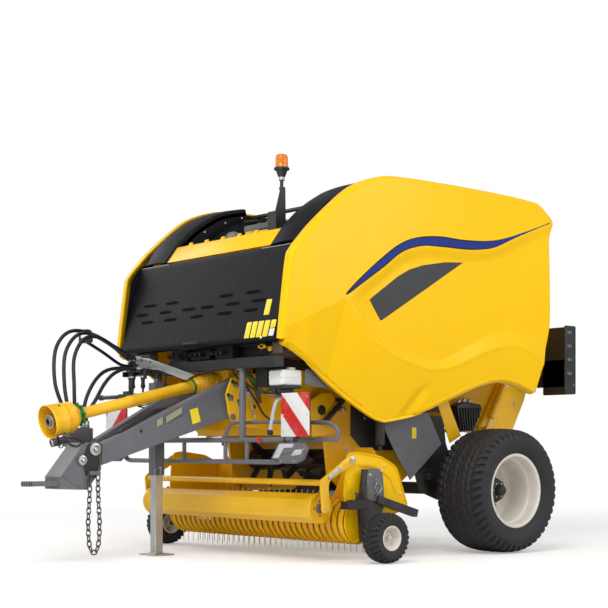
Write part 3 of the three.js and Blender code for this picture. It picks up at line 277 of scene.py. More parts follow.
def rounded(corners, radius, steps=4):
    # an outline whose corners are replaced by short curves that start at most one radius before them
    corners = np.array(corners, float)
    before, after = np.roll(corners, 1, 0), np.roll(corners, -1, 0)
    back, ahead = before - corners, after - corners
    lengths = np.linalg.norm(back, axis=1, keepdims=True), np.linalg.norm(ahead, axis=1, keepdims=True)
    reach = np.minimum(radius, np.minimum(*lengths) * 0.45)
    p, q = corners + back / lengths[0] * reach, corners + ahead / lengths[1] * reach
    t = np.linspace(0, 1, steps + 1)[None, :, None]
    bend = (1 - t) ** 2 * p[:, None] + 2 * t * (1 - t) * corners[:, None] + t**2 * q[:, None]
    return bend.reshape(-1, 2)


def sheet(corners, radius, low, high, axis="x", bevel=0.003):
    return plate(rounded(corners, radius), low, high, axis, bevel)


def arcPoints(centre, radius, fromDegrees, toDegrees, count):
    a = np.radians(np.linspace(fromDegrees, toDegrees, count))
    return np.stack([centre[0] + radius * np.cos(a), centre[1] + radius * np.sin(a)], 1)


def makePiece(name, parts, body, replaces=(), sharp=32, modifiers=(), flip=join):
    # one object from (shapes, material) rows; the y of the layout is moved into the frame here
    mesh = bpy.data.meshes.new(name)
    start, points, corners, sizes, paints, materials = 0, [], [], [], [], []
    for *shapes, material in parts:
        if material not in materials:
            materials.append(material)
        p, q, caps = flip(*shapes)
        points.append(p + np.array([0, axleY, 0]))
        corners.append((q + start).ravel())
        corners += [np.array(cap) + start for cap in caps]
        sizes.append(np.full(len(q), 4))
        sizes.append(np.array([len(cap) for cap in caps], int))
        paints.append(np.full(len(q) + len(caps), materials.index(material)))
        start += len(p)
    points, corners = np.concatenate(points), np.concatenate(corners)
    sizes, paints = np.concatenate(sizes), np.concatenate(paints)
    mesh.vertices.add(len(points))
    mesh.vertices.foreach_set("co", points.astype(np.float32).ravel())
    mesh.loops.add(len(corners))
    mesh.loops.foreach_set("vertex_index", corners.astype(np.int32))
    mesh.polygons.add(len(sizes))
    mesh.polygons.foreach_set("loop_start", (np.cumsum(sizes) - sizes).astype(np.int32))
    mesh.polygons.foreach_set("material_index", paints.astype(np.int32))
    mesh.update(calc_edges=True)
    for material in materials:
        mesh.materials.append(material)
    work = bmesh.new()
    work.from_mesh(mesh)
    bmesh.ops.remove_doubles(work, verts=work.verts, dist=2e-6)
    bmesh.ops.dissolve_degenerate(work, edges=work.edges, dist=1e-7)
    bmesh.ops.recalc_face_normals(work, faces=work.faces)
    work.to_mesh(mesh)
    work.free()
    mesh.shade_smooth()
    mesh.set_sharp_from_angle(angle=math.radians(sharp))
    piece = bpy.data.objects.new(name, mesh)
    bpy.context.scene.collection.objects.link(piece)
    for kind, settings in modifiers:
        modifier = piece.modifiers.new(kind.lower(), kind)
        for key, value in settings.items():
            setattr(modifier, key, value)
    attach(piece, body)
    if replaces:
        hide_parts(*([replaces] if isinstance(replaces, str) else replaces))
    return piece


def eased(value, low, high):
    # 0 before low, 1 after high, with level ends
    t = np.clip((value - low) / (high - low), 0, 1)
    return t * t * (3 - 2 * t)


def softened(node, material, width):
    # a merged copy of a CAD node with its edges rounded, which stands for that node
    copy = bpy.data.meshes.new(node + "_soft")
    work = bmesh.new()
    work.from_mesh(frame["nodes"][node].data)
    bmesh.ops.remove_doubles(work, verts=work.verts, dist=1e-5)
    bmesh.ops.dissolve_limit(work, angle_limit=math.radians(1), verts=work.verts, edges=work.edges)
    bmesh.ops.recalc_face_normals(work, faces=work.faces)
    for face in work.faces:
        face.material_index = 0
    work.to_mesh(copy)
    work.free()
    copy.materials.clear()
    copy.materials.append(material)
    copy.shade_smooth()
    copy.set_sharp_from_angle(angle=math.radians(30))
    piece = bpy.data.objects.new(node + "_soft", copy)
    bpy.context.scene.collection.objects.link(piece)
    if width:
        bevel = piece.modifiers.new("bevel", "BEVEL")
        bevel.width = width
        bevel.segments = 2
        bevel.limit_method = "ANGLE"
        bevel.angle_limit = math.radians(38)
        bevel.harden_normals = False
    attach(piece, frame["nodes"][node]["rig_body"])
    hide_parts(node)


def fromScreen(red, green, blue):
    # a colour as seen on a screen, 0 to 255, as the linear colour that shaders use
    return tuple((c / 255 / 12.92) if c < 10.3 else ((c / 255 + 0.055) / 1.055) ** 2.4
        for c in (red, green, blue)) + (1.0,)


class Value:
    # a number socket on which sums can be written; each operator adds its Math node
    def __init__(self, finish, socket):
        self.finish, self.socket = finish, socket

    def math(self, operation, *others, clamp=False):
        node = self.finish.node("ShaderNodeMath", {"operation": operation, "use_clamp": clamp},
            dict(enumerate((self, *others))))
        return Value(self.finish, node.outputs[0])

    def __add__(self, other): return self.math("ADD", other)
    def __radd__(self, other): return self.math("ADD", other)
    def __sub__(self, other): return self.math("SUBTRACT", other)
    def __rsub__(self, other): return self.finish.number("SUBTRACT", other, self)
    def __mul__(self, other): return self.math("MULTIPLY", other)
    def __abs__(self): return self.math("ABSOLUTE")
    def __pow__(self, other): return self.math("POWER", other)
    def __mod__(self, other): return self.math("FLOORED_MODULO", other)
    def __gt__(self, other): return self.math("GREATER_THAN", other)
    def __lt__(self, other): return self.math("LESS_THAN", other)

    def between(self, low, high):
        # 0 below low, 1 above high, smooth between
        node = self.finish.node("ShaderNodeMapRange", {"interpolation_type": "SMOOTHSTEP"},
            {"Value": self, "From Min": low, "From Max": high})
        return Value(self.finish, node.outputs["Result"])


class Finish:
    # one material; node() is the only place where a shader node is made, and plain colours are screen values
    def __init__(self, name, colour, rough=0.5, metal=0.0, coat=0.0, **fixed):
        self.material = bpy.data.materials.new(name)
        self.material.use_nodes = True
        self.tree = self.material.node_tree
        self.shader = self.tree.nodes["Principled BSDF"]
        self.colour = fromScreen(*colour)
        self.shader.inputs["Base Color"].default_value = self.colour
        self.shader.inputs["Roughness"].default_value = rough
        self.shader.inputs["Metallic"].default_value = metal
        self.shader.inputs["Coat Weight"].default_value = coat
        for key, value in fixed.items():
            self.shader.inputs[key.replace("_", " ")].default_value = value
        place = self.node("ShaderNodeTexCoord")
        self.place = place.outputs["Object"]
        split = self.node("ShaderNodeSeparateXYZ", {}, {0: self.place})
        self.x, self.y, self.z = (Value(self, o) for o in split.outputs)
        self.y = self.y - axleY

    def node(self, kind, settings={}, inputs={}):
        made = self.tree.nodes.new(kind)
        for key, value in settings.items():
            setattr(made, key, value)
        for key, value in inputs.items():
            if isinstance(value, Value):
                value = value.socket
            if isinstance(value, bpy.types.NodeSocket):
                self.tree.links.new(value, made.inputs[key])
            else:
                made.inputs[key].default_value = value
        return made

    def number(self, operation, a, b):
        return Value(self, self.node("ShaderNodeMath", {"operation": operation}, {0: a, 1: b}).outputs[0])

    def noise(self, scale, detail=3.0, stretch=None, rough=0.55):
        place = self.place
        if stretch:
            place = self.node("ShaderNodeVectorMath", {"operation": "MULTIPLY"}, {0: place, 1: stretch}).outputs[0]
        node = self.node("ShaderNodeTexNoise", {}, {"Vector": place, "Scale": scale, "Detail": detail,
            "Roughness": rough})
        return Value(self, node.outputs["Fac"])

    def edges(self, low=0.52, high=0.6):
        return Value(self, self.node("ShaderNodeNewGeometry").outputs["Pointiness"]).between(low, high)

    def mix(self, factor, first, second):
        # socket 0 is the factor, 6 and 7 the two colours
        first, second = (fromScreen(*c) if isinstance(c, tuple) and len(c) == 3 else c for c in (first, second))
        node = self.node("ShaderNodeMix", {"data_type": "RGBA"}, {0: factor, 6: first, 7: second})
        return node.outputs[2]

    def feed(self, **links):
        for key, value in links.items():
            socket = value.socket if isinstance(value, Value) else value
            self.tree.links.new(socket, self.shader.inputs[key.replace("_", " ")])
        return self.material

    def bump(self, height, distance=0.001, strength=1.0):
        node = self.node("ShaderNodeBump", {}, {"Height": height, "Distance": distance, "Strength": strength})
        return node.outputs["Normal"]


dust = {"colour": (176, 158, 128), "height": 1.1, "amount": 0.13}


def shaded(colour, factor):
    return tuple(c * factor for c in colour[:3]) + (1.0,)


def enamel(name, colour, rough=0.4, coat=0.0, wear=0.5, dusty=1.0, metal=0.0, peel=0.00012, under=(120, 118, 112),
    cloudy=0.08, **fixed):
    # sprayed paint: a cloudy tint, dust that gathers low down, chipped edges and orange peel
    f = Finish(name, colour, rough, metal, coat, **fixed)
    cloud = f.noise(2.3, 4.0)
    fine = f.noise(38.0, 4.0)
    tint = f.mix(cloud.between(0.3, 0.75), shaded(f.colour, 1 - cloudy), shaded(f.colour, 1 + cloudy * 0.5))
    low = 1 - f.z.between(0.1, dust["height"])
    film = (low * 0.75 + 0.25) * f.noise(7.0, 5.0).between(0.38, 0.75) * (dust["amount"] * dusty)
    tint = f.mix(film, tint, dust["colour"])
    chips = f.edges(0.56, 0.68) * fine.between(0.52, 0.66) * (wear * 0.45)
    tint = f.mix(chips, tint, under)
    roughness = rough + film * 1.2 + chips * 0.25 + (cloud - 0.5) * 0.08
    return f.feed(Base_Color=tint, Roughness=roughness, Normal=f.bump(f.noise(420.0, 2.0), peel))


def rubber(name, colour, rough=0.78, dusty=1.0, grain=0.0004):
    # black rubber, greyer where it is handled or scuffed, with a fine grain
    f = Finish(name, colour, rough)
    scuff = f.noise(5.0, 5.0).between(0.35, 0.8)
    tint = f.mix(scuff * 0.55, f.colour, shaded(f.colour, 1.9))
    low = 1 - f.z.between(0.0, 0.75)
    film = (low * 0.8 + 0.2) * f.noise(5.0, 4.0).between(0.3, 0.8) * (0.1 * dusty)
    tint = f.mix(film, tint, dust["colour"])
    return f.feed(Base_Color=tint, Roughness=rough + scuff * 0.1 + film * 0.4,
        Normal=f.bump(f.noise(260.0, 3.0), grain))


def bareMetal(name, colour, rough=0.35, stretch=(1, 1, 1), stain=0.4):
    # rolled or zinc plated steel with streaks and dull stains
    f = Finish(name, colour, rough, 1.0)
    streak = f.noise(60.0, 4.0, stretch)
    spots = f.noise(9.0, 6.0).between(0.5, 0.75) * stain
    tint = f.mix(streak, shaded(f.colour, 0.82), shaded(f.colour, 1.1))
    tint = f.mix(spots, tint, (96, 84, 70))
    return f.feed(Base_Color=tint, Roughness=rough + spots * 0.35 + streak * 0.12, Metallic=1 - spots * 0.5,
        Normal=f.bump(streak, 0.0002))


def moulded(name, colour, rough=0.4, coat=0.0, grain=0.00018, mottle=0.06, **fixed):
    # moulded plastic: even colour with a faint flow pattern and a fine leather grain
    f = Finish(name, colour, rough, 0.0, coat, **fixed)
    flow = f.noise(3.1, 3.0)
    grime = f.noise(11.0, 5.0).between(0.52, 0.8) * mottle * 2
    tint = f.mix(flow.between(0.25, 0.8), shaded(f.colour, 1 - mottle), shaded(f.colour, 1 + mottle))
    tint = f.mix(grime, tint, dust["colour"])
    return f.feed(Base_Color=tint, Roughness=rough + grime * 0.8 + (flow - 0.5) * 0.1,
        Normal=f.bump(f.noise(520.0, 2.0), grain))


panelYellow = enamel("panelYellow", (250, 197, 0), 0.34, coat=0.06, wear=0.15, dusty=0.2, peel=0.00005,
    under=(250, 214, 90), cloudy=0.025, Coat_Roughness=0.12, Specular_IOR_Level=0.16)
steelYellow = enamel("steelYellow", (246, 190, 4), 0.36, coat=0.15, wear=0.35, dusty=0.5)
frameGrey = enamel("frameGrey", (100, 101, 107), 0.45, wear=0.4, under=(160, 158, 152))
satinBlack = enamel("satinBlack", (28, 29, 32), 0.46, wear=0.3, under=(120, 120, 118))
hoodBlack = moulded("hoodBlack", (15, 16, 21), 0.46, grain=0.00012, mottle=0.012, Specular_IOR_Level=0.1)
rimWhite = enamel("rimWhite", (222, 216, 206), 0.38, wear=0.45, dusty=1.5, under=(120, 112, 104))
castBlack = enamel("castBlack", (30, 30, 32), 0.5, wear=0.7, peel=0.0004, under=(112, 108, 104))
tyreRubber = rubber("tyreRubber", (27, 27, 31), 0.62, dusty=0.12)
hoseRubber = rubber("hoseRubber", (32, 32, 35), 0.5, dusty=0.4, grain=0.0002)
rodSteel = bareMetal("rodSteel", (190, 190, 190), 0.22, (1, 20, 1), stain=0.15)
plainSteel = bareMetal("plainSteel", (150, 148, 144), 0.38)
zinc = bareMetal("zinc", (206, 206, 204), 0.33, stain=0.2)
conePlastic = moulded("conePlastic", (246, 188, 14), 0.42, coat=0.1, grain=0.0004, mottle=0.1)
greenPlastic = moulded("greenPlastic", (14, 116, 60), 0.45)
darkPlastic = moulded("darkPlastic", (34, 35, 38), 0.45, mottle=0.12)
lampGrey = moulded("lampGrey", (96, 97, 101), 0.5, mottle=0.08)
silverPlastic = moulded("silverPlastic", (186, 188, 192), 0.28, coat=0.3)
tankWhite = moulded("tankWhite", (232, 232, 228), 0.45, mottle=0.05, Subsurface_Weight=0.15)
chainGrey = bareMetal("chainGrey", (104, 104, 108), 0.42, stain=0.3)
leverBrown = enamel("leverBrown", (112, 90, 66), 0.5, wear=0.5)
plateYellow = moulded("plateYellow", (238, 214, 34), 0.4, mottle=0.05)
plateWhite = moulded("plateWhite", (222, 222, 216), 0.42, mottle=0.05)
plateDull = moulded("plateDull", (150, 152, 124), 0.45, mottle=0.08)
redPlastic = moulded("redPlastic", (196, 22, 24), 0.25, coat=0.5)
stripeBlue = moulded("stripeBlue", (8, 40, 128), 0.5, grain=0.00004, mottle=0.02, Specular_IOR_Level=0.25)
stripeEdge = moulded("stripeEdge", (14, 18, 36), 0.5, grain=0.00004, mottle=0.02, Specular_IOR_Level=0.25)
print("finishes made")


# side panels
panel = {"outside": 1.15, "inside": 1.052, "roll": 0.034, "wall": 0.006, "scoop": 0.03, "facet": 0.16, "across": 230,
    "up": 150}
panelFront = [(-2.252, 1.64), (-2.215, 1.93), (-2.17, 2.25), (-2.138, 2.322), (-2.088, 2.382)]
panelTop = [(-2.088, 2.382), (-1.95, 2.525), (-1.745, 2.703), (-1.6, 2.815), (-1.48, 2.882), (-1.3, 2.945),
    (-1.1, 2.974), (-0.62, 2.984), (0.06, 2.98), (0.5, 2.962), (0.625, 2.935), (0.79, 2.82)]
panelRear = [(0.56, 1.31), (0.61, 1.44), (0.665, 1.58), (0.745, 1.84), (0.765, 2.0), (0.762, 2.3), (0.755, 2.62),
    (0.765, 2.7), (0.79, 2.82)]
panelFoot = [(-2.252, 1.64), (-2.0, 1.515), (-1.64, 1.28), (-1.33, 1.115), (-1.2, 1.07), (-1.12, 1.068), (-0.8, 1.126),
    (-0.5, 1.235), (-0.2, 1.342), (0.0, 1.392), (0.14, 1.405), (0.3, 1.385), (0.45, 1.345), (0.56, 1.31)]
ridgeLine = np.array([(-2.3, 1.7), (-1.979, 1.838), (-1.643, 1.992), (-1.534, 1.876), (-1.386, 1.722), (-1.198, 1.607),
    (-0.966, 1.532), (-0.767, 1.492), (-0.564, 1.5), (-0.356, 1.558), (-0.079, 1.657), (0.186, 1.712), (0.412, 1.69),
    (0.644, 1.583), (0.85, 1.45)])
ledgeLine = np.array([(-1.643, 2.0), (-1.497, 2.098), (-1.274, 2.24), (-1.063, 2.382), (-0.847, 2.448), (-0.646, 2.464),
    (-0.356, 2.468), (-0.144, 2.484), (0.031, 2.52), (0.298, 2.63), (0.715, 2.79), (0.9, 2.87)])
stripeTop = [(-1.652, 2.01), (-1.516, 2.13), (-1.311, 2.29), (-1.102, 2.43), (-0.907, 2.506), (-0.646, 2.539),
    (-0.356, 2.538), (-0.079, 2.56), (0.141, 2.606), (0.412, 2.692), (0.715, 2.796)]
stripeLow = [(-1.652, 2.01), (-1.497, 2.11), (-1.274, 2.252), (-1.063, 2.393), (-0.847, 2.458), (-0.646, 2.473),
    (-0.356, 2.478), (-0.144, 2.494), (0.031, 2.53), (0.298, 2.637), (0.715, 2.794)]
ventOutline = [(-1.386, 1.994), (-1.264, 1.838), (-0.346, 2.367), (-0.55, 2.352), (-0.807, 2.306), (-0.95, 2.262),
    (-1.082, 2.196)]


def resampled(points, count):
    # evenly spaced points along a line
    p = np.array(points, float)
    steps = np.concatenate([[0], np.cumsum(np.linalg.norm(np.diff(p, axis=0), axis=1))])
    at = np.linspace(0, steps[-1], count)
    return np.stack([np.interp(at, steps, p[:, k]) for k in range(p.shape[1])], 1)


def lineSide(y, z, line):
    # signed distance from a line given as points: positive above it, found on its nearest segment
    best = np.full(y.shape, 9.0)
    signed = np.zeros(y.shape)
    for a, b in zip(line[:-1], line[1:]):
        d = b - a
        t = np.clip(((y - a[0]) * d[0] + (z - a[1]) * d[1]) / (d @ d), 0, 1)
        dy, dz = y - a[0] - t * d[0], z - a[1] - t * d[1]
        distance = np.hypot(dy, dz)
        side = np.sign(d[0] * dz - d[1] * dy)
        signed = np.where(distance < best, side * distance, signed)
        best = np.minimum(distance, best)
    return signed


ridgeSmooth = curve(ridgeLine[2:], 60)
ridgeWhole = np.concatenate([ridgeLine[:2], ridgeSmooth])
ledgeSmooth = curve(ledgeLine, 50)


def panelX(y, z):
    # how far out the skin lies: a slight crown, a scoop between ledge and ridge,
    # and a front skirt folded in under the ridge
    crown = 0.012 * ((z - 2.2) / 0.9) ** 2 + 0.01 * ((y + 0.7) / 1.5) ** 2
    underLedge = -lineSide(y, z, ledgeSmooth)
    overRidge = lineSide(y, z, ridgeWhole)
    wall = 0.055 + 0.11 * eased(y, -1.0, 0.5)
    scoop = eased(underLedge, 0.0, 0.1) * eased(overRidge, 0.0, wall) * eased(y, -1.66, -1.3)
    fade = 1 - 0.35 * eased(y, 0.35, 0.8)
    below = np.maximum(-overRidge, 0)
    skirt = panel["facet"] * below * (1 - 0.75 * eased(y, -0.9, -0.3)) * (1 - 0.2 * eased(z, 1.8, 2.2))
    bead = 0.004 * np.exp(-((overRidge / 0.02) ** 2)) * eased(y, -1.6, -1.2)
    corner = 0.3 * np.maximum(0, 0.07 - np.abs((y + 0.86) * 0.78 + (z - 1.23) * -0.62)) * (z < 1.42) * eased(1.4 - z,
        0.0, 0.12)
    nose = 0.018 * eased(-y, 1.95, 2.15)
    return panel["outside"] - 0.002 - crown - panel["scoop"] * scoop * fade - skirt + bead - corner - nose


def coons(front, top, rear, foot, across, up):
    # a patch between four edges: the two ruled surfaces added, less the one through the corners
    u, v = np.linspace(0, 1, across)[None, :, None], np.linspace(0, 1, up)[:, None, None]
    low, high = resampled(foot, across)[None], resampled(top, across)[None]
    near, far = resampled(front, up)[:, None], resampled(rear, up)[:, None]
    flat = (1 - u) * (1 - v) * low[:, :1] + u * (1 - v) * low[:, -1:] + (1 - u) * v * high[:, :1] + u * v * high[:, -1:]
    return (1 - v) * low + v * high + (1 - u) * near + u * far - flat


def panelSkin():
    # the patch, then rings that leave its rim along a quarter circle and run straight inwards
    roll = panel["roll"]
    edges = [curve(e, 80) for e in (panelFront, panelTop, panelRear, panelFoot)]
    loop = np.concatenate([edges[3][:-1], edges[2][:-1], edges[1][::-1][:-1], edges[0][::-1][:-1]])
    normals = outwardNormals(loop)
    inner = loop - normals * roll
    starts = np.cumsum([0] + [len(edge) - 1 for edge in edges[::-1]])
    ring = np.concatenate([inner, inner[:1]])
    foot, rear = ring[starts[0] : starts[1] + 1], ring[starts[1] : starts[2] + 1]
    top, front = ring[starts[2] : starts[3] + 1][::-1], ring[starts[3] : starts[4] + 1][::-1]
    flat = coons(front, top, rear, foot, panel["across"], panel["up"])
    skin = np.concatenate([panelX(flat[..., 0], flat[..., 1])[..., None], flat], -1)
    rim = np.concatenate([skin[0, :-1], skin[:-1, -1], skin[-1, ::-1][:-1], skin[::-1, 0][:-1]])
    out = outwardNormals(rim[:, 1:])
    rings = []
    for a in np.linspace(0, math.pi / 2, 7):
        rings.append(np.concatenate([rim[:, :1] - roll * (1 - math.cos(a)), rim[:, 1:] + out * roll * math.sin(a)], 1))
    for x in np.linspace(0.25, 1, 4):
        last = rings[6]
        rings.append(np.concatenate([last[:, :1] * (1 - x) + panel["inside"] * x, last[:, 1:]], 1))
    lip = rings[-1].copy()
    lip[:, 1:] -= out * 0.02
    rings.append(lip)
    return join(gridShape(skin), gridShape(np.array(rings), roundColumns=True))


def onPanel(outline, lift, rings=1, thick=0.0012):
    # a thin sheet whose rows run from one edge line to the other and follow the panel's skin
    top, low = outline
    v = np.linspace(0, 1, rings + 1)[:, None, None]
    flat = top[None] * (1 - v) + low[None] * v
    x = panelX(flat[..., 0], flat[..., 1])
    outer = np.concatenate([(x + lift + thick)[..., None], flat], -1)
    inner = np.concatenate([(x + lift - 0.002)[..., None], flat], -1)
    return join(gridShape(outer), gridShape(inner), edgeWall(outer, inner))


def edgeWall(outer, inner):
    # closes the rim between two grids of the same size
    def rim(g):
        return np.concatenate([g[0, :-1], g[:-1, -1], g[-1, ::-1][:-1], g[::-1, 0][:-1]])

    return gridShape(np.array([rim(outer), rim(inner)]), roundColumns=True)


skinShape = panelSkin()
stripeUp, stripeDown = curve(stripeTop, 120), curve(stripeLow, 120)
across = stripeUp - stripeDown
width = np.linalg.norm(across, axis=1, keepdims=True)
direction = across / np.maximum(width, 0.004)
stripeShape = onPanel((stripeUp - direction * 0.002, stripeDown + direction * 0.002), 0.001, 4)
stripeRim = onPanel((stripeUp + direction * 0.009, stripeDown - direction * 0.009), 0.0001, 5)
ventTop = resampled([ventOutline[0], *ventOutline[:1:-1]], 60)
ventLow = resampled(ventOutline[:3], 60)
ventMiddle = (ventTop + ventLow) / 2
ventShape = onPanel((ventMiddle + (ventTop - ventMiddle) * 0.93, ventMiddle + (ventLow - ventMiddle) * 0.93), 0.0012,
    14)
ventRim = onPanel((ventTop, ventLow), 0.0001, 14)


def ventFinish():
    # black panel with a fine woven mesh: two crossing rows of small dips
    f = Finish("ventMesh", (40, 41, 45), 0.45)
    rows = (f.y * 260.0).math("SINE") * (f.z * 260.0).math("SINE")
    shade = f.noise(2.0, 2.0)
    tint = f.mix(rows.between(-0.2, 0.6) * 0.6 + shade * 0.3, (26, 27, 30), (58, 59, 64))
    return f.feed(Base_Color=tint, Normal=f.bump(rows, 0.0008))


ventMesh = ventFinish()
for side, flip in bothHands:
    name = "side_panel_" + side
    makePiece(name + "_skin", [(skinShape, panelYellow)], name, name, 40,
        [("SOLIDIFY", {"thickness": panel["wall"], "offset": -1.0})], flip=flip)
    makePiece(name + "_stripe", [(stripeRim, stripeEdge), (stripeShape, stripeBlue)], name, (),
        flip=flip)
    makePiece(name + "_vent", [(ventRim, darkPlastic), (ventShape, ventMesh)], name, (), flip=flip)
    # a black lining behind the front edge, then ribs behind the skin and the three hinge lugs on its top edge
    lining = plate([(-2.218, 1.665), (-2.18, 1.93), (-2.133, 2.25), (-2.104, 2.31), (-2.06, 2.365), (-1.97, 2.44),
        (-1.94, 2.36), (-1.98, 2.0), (-2.08, 1.665)], 1.0445, 1.0485, "x", 0.001)
    makePiece(name + "_lining", [(lining, hoodBlack)], name, (), flip=flip)
    ends = [((-1.4, 1.72), (0.42, 1.78)), ((-1.4, 1.72), (-1.0, 2.86)), ((0.42, 1.78), (0.3, 2.86)),
        ((-1.2, 2.3), (0.36, 2.3))]
    ribs = [rod((1.078, *a), (1.078, *b), 0.015) for a, b in ends]
    feet = [rod((1.078, y, z), (float(panelX(np.array([y]), np.array([z]))[0]) - 0.008, y, z), 0.026) for y,
        z in ((-1.4, 1.72), (0.42, 1.78), (-1.0, 2.86), (0.3, 2.86))]
    lugs = [join(block(1.02, 1.058, y + 0.0175, y + 0.0285, 2.9495, 2.9745, 0.003),
        disc((1.03, y + 0.013, 2.962), behind, 0.016, 0.02, 0.002)) for y in (-1.0, -0.25, 0.38)]
    makePiece(name + "_ribs", [(*ribs, *feet, frameGrey), (*lugs, satinBlack)], name, (), flip=flip)
print("side panels made")


# front hood
hood = {"half": 1.036, "bend": 0.02, "wall": 0.005, "slot": (0.086, 0.0125)}
hoodLow, hoodHigh = np.array([-2.246, 1.672]), np.array([-2.067, 2.3])
rollAngles = np.radians((165, 152, 139, 127, 118))
hoodProfile = np.array([(-2.222, 1.637), (-2.244, 1.65), *(hoodLow + (hoodHigh - hoodLow) * t
    for t in np.linspace(0, 1, 30)), (-2.0555, 2.342), *((-2.01 + 0.04 * math.cos(a), 2.352 + 0.04 * math.sin(a))
    for a in rollAngles)])
hoodSlots = [(x, 2.039) for x in (-0.742, -0.42, 0.306, 0.643)] + [(x, 1.966)
    for x in (-0.828, -0.488, -0.165, 0.085, 0.412, 0.74)] + [(x, 1.898) for x in (-0.72, -0.392, -0.027, 0.333, 0.663)]


def hoodSkin():
    # the bent front line carried across the width, its two ends rolled back by a quarter circle
    normals = np.array([(-0.5, -0.86), (-0.9, -0.4)] + [(-0.962, 0.274)] * 31 + [(math.cos(a), math.sin(a))
        for a in rollAngles])
    normals = unit(normals)
    bend, flat = hood["bend"], hood["half"] - hood["bend"]
    curl = [(flat + bend * math.sin(a), bend * (1 - math.cos(a))) for a in np.linspace(0, math.pi / 2, 6)[1:]]
    columns = np.array([(-x, d) for x, d in curl[::-1]] + [(x, 0.0) for x in np.linspace(-flat, flat, 120)] + curl)
    points = np.zeros((len(hoodProfile), len(columns), 3))
    points[..., 0] = columns[None, :, 0]
    points[..., 1:] = hoodProfile[:, None] - normals[:, None] * columns[None, :, 1, None]
    wave = 0.0003 * np.sin(points[..., 0] * 5.0) * np.sin((points[..., 2] - 1.67) * 5.0)
    points[2:32, :, 1] += wave[2:32]
    return gridShape(points)


def onHood(x, z, lift=0.0):
    # a point on the hood's front face, lifted outwards
    y = hoodLow[0] + (hoodHigh[0] - hoodLow[0]) * (z - hoodLow[1]) / (hoodHigh[1] - hoodLow[1])
    return x, y - lift * 0.962, z + lift * 0.274


def slotLine(half, high):
    # a long outline with round ends
    a = fullTurn(36)
    return np.stack([half * np.clip(np.cos(a) * 1.35, -1, 1), high * np.sin(a)], 1)


def slotRim(x, z, half, high):
    rows = []
    for grow, lift in ((1.06, 0.0002), (1.03, 0.0022), (0.96, 0.0024), (0.9, 0.0006), (0.86, 0.0002)):
        stretch = 1 + (grow - 1) * high / half * 3
        rows.append([onHood(x + u * stretch, z + v * grow, lift) for u, v in slotLine(half, high)])
    return gridShape(np.array(rows), roundColumns=True)


def slotFloor(x, z, half, high):
    # a near-black disc just inside the rim, painted shade for the dark inside of the slot
    rim = np.array([onHood(x + u * 0.97, z + v * 0.93, 0.0009) for u, v in slotLine(half, high)])
    middle = np.broadcast_to(np.mean(rim, axis=0), rim.shape)
    return gridShape(np.array([middle, rim]), roundColumns=True)


# the slot floors are painted near black as the shade inside the slots
slotShade = moulded("slotPaintedShade", (5, 5, 6), 0.85, mottle=0.01, Specular_IOR_Level=0.1)
hoodSlotRims = join(*(slotRim(x, z, *hood["slot"]) for x, z in hoodSlots))
hoodSlotFloors = join(*(slotFloor(x, z, *hood["slot"]) for x, z in hoodSlots))
hoodEnd = [(-2.2227, 1.652), (-2.0477, 2.301), (-2.034, 2.338), (-1.9835, 2.352), (-1.9835, 2.303), (-2.13, 1.7),
    (-2.18, 1.652)]
hoodEnds = bothSides(sheet(hoodEnd, 0.012, 1.016, 1.0355, "x", 0.003))
hoodFolds = join(block(-1.0, 1.0, -2.218, -2.206, 1.645, 1.66, 0.002),
    *(sheet([(-2.226, 1.7), (-2.08, 2.24), (-2.055, 2.24), (-2.2, 1.7)], 0.01, x - 0.004, x + 0.004)
    for x in (-0.486, 0.0, 0.486)))
hoodLugs = bothSides(sheet([(-2.052, 2.31), (-2.025, 2.372), (-1.995, 2.372), (-1.985, 2.34), (-2.03, 2.29)], 0.008,
    0.4815, 0.4905), disc((0.478, -2.01, 2.352), left, 0.015, 0.016, 0.002))


def hoodPlate(x0, x1, z0, z1):
    # a blank plate with rounded corners on the hood's face
    outline = rounded(oblong(x0, x1, z0, z1), 0.008)
    middle = np.array([(x0 + x1) / 2, (z0 + z1) / 2])
    return gridShape(np.array([[onHood(*(middle + (p - middle) * s), lift) for p in outline] for s,
        lift in ((1, 0.0003), (1, 0.0014), (0.98, 0.0018), (0, 0.0018))]), roundColumns=True)


hoodPlates = join(*(hoodPlate(x, x + 0.06, 1.68, 1.803) for x in (0.658, 0.73, 0.802, 0.876)),
    hoodPlate(0.95, 1.008, 1.742, 1.803), hoodPlate(0.836, 0.9, 1.846, 1.964))
hoodPale = join(hoodPlate(0.95, 1.008, 1.682, 1.738), disc(onHood(0.866, 1.6765, 0.0), (0, -0.962, 0.274), 0.011, 0.002,
    0.0006, 20))
hoodTrim = bothSides(tube([(x, -2.0405, 2.3795) for x in np.linspace(0.62, 1.012, 8)], 0.0022, 8))
handleLine = [onHood(x, 1.668, lift) for x, lift in ((-0.09, 0.002), (-0.085, 0.03), (0, 0.036), (0.085, 0.03),
    (0.09, 0.002))]
handleBar = tube(curve(handleLine, 24), 0.007, 10)
makePiece("front_hood_skin", [(hoodSkin(), hoodBlack)], "front_hood", "front_hood", 34,
    [("SOLIDIFY", {"thickness": hood["wall"], "offset": -1.0})])
makePiece("front_hood_slots", [(hoodSlotRims, hoodBlack), (hoodSlotFloors, slotShade)], "front_hood", (),
    50)
makePiece("front_hood_folds", [(hoodEnds, hoodFolds, satinBlack), (hoodLugs, steelYellow), (hoodTrim, silverPlastic),
    (handleBar, satinBlack), (hoodPlates, plateYellow), (hoodPale, plateWhite)], "front_hood", ())


# shoulder covers; the crossbeam and the roof frame are made further down
shoulder = {"wall": 0.01, "roll": 0.03, "inner": 0.69, "outer": 1.04}
shoulderLine = [(-2.022, 2.403), (-1.96, 2.485), (-1.9, 2.56), (-1.81, 2.648), (-1.72, 2.725), (-1.6, 2.803),
    (-1.48, 2.868), (-1.33, 2.915), (-1.18, 2.948)]


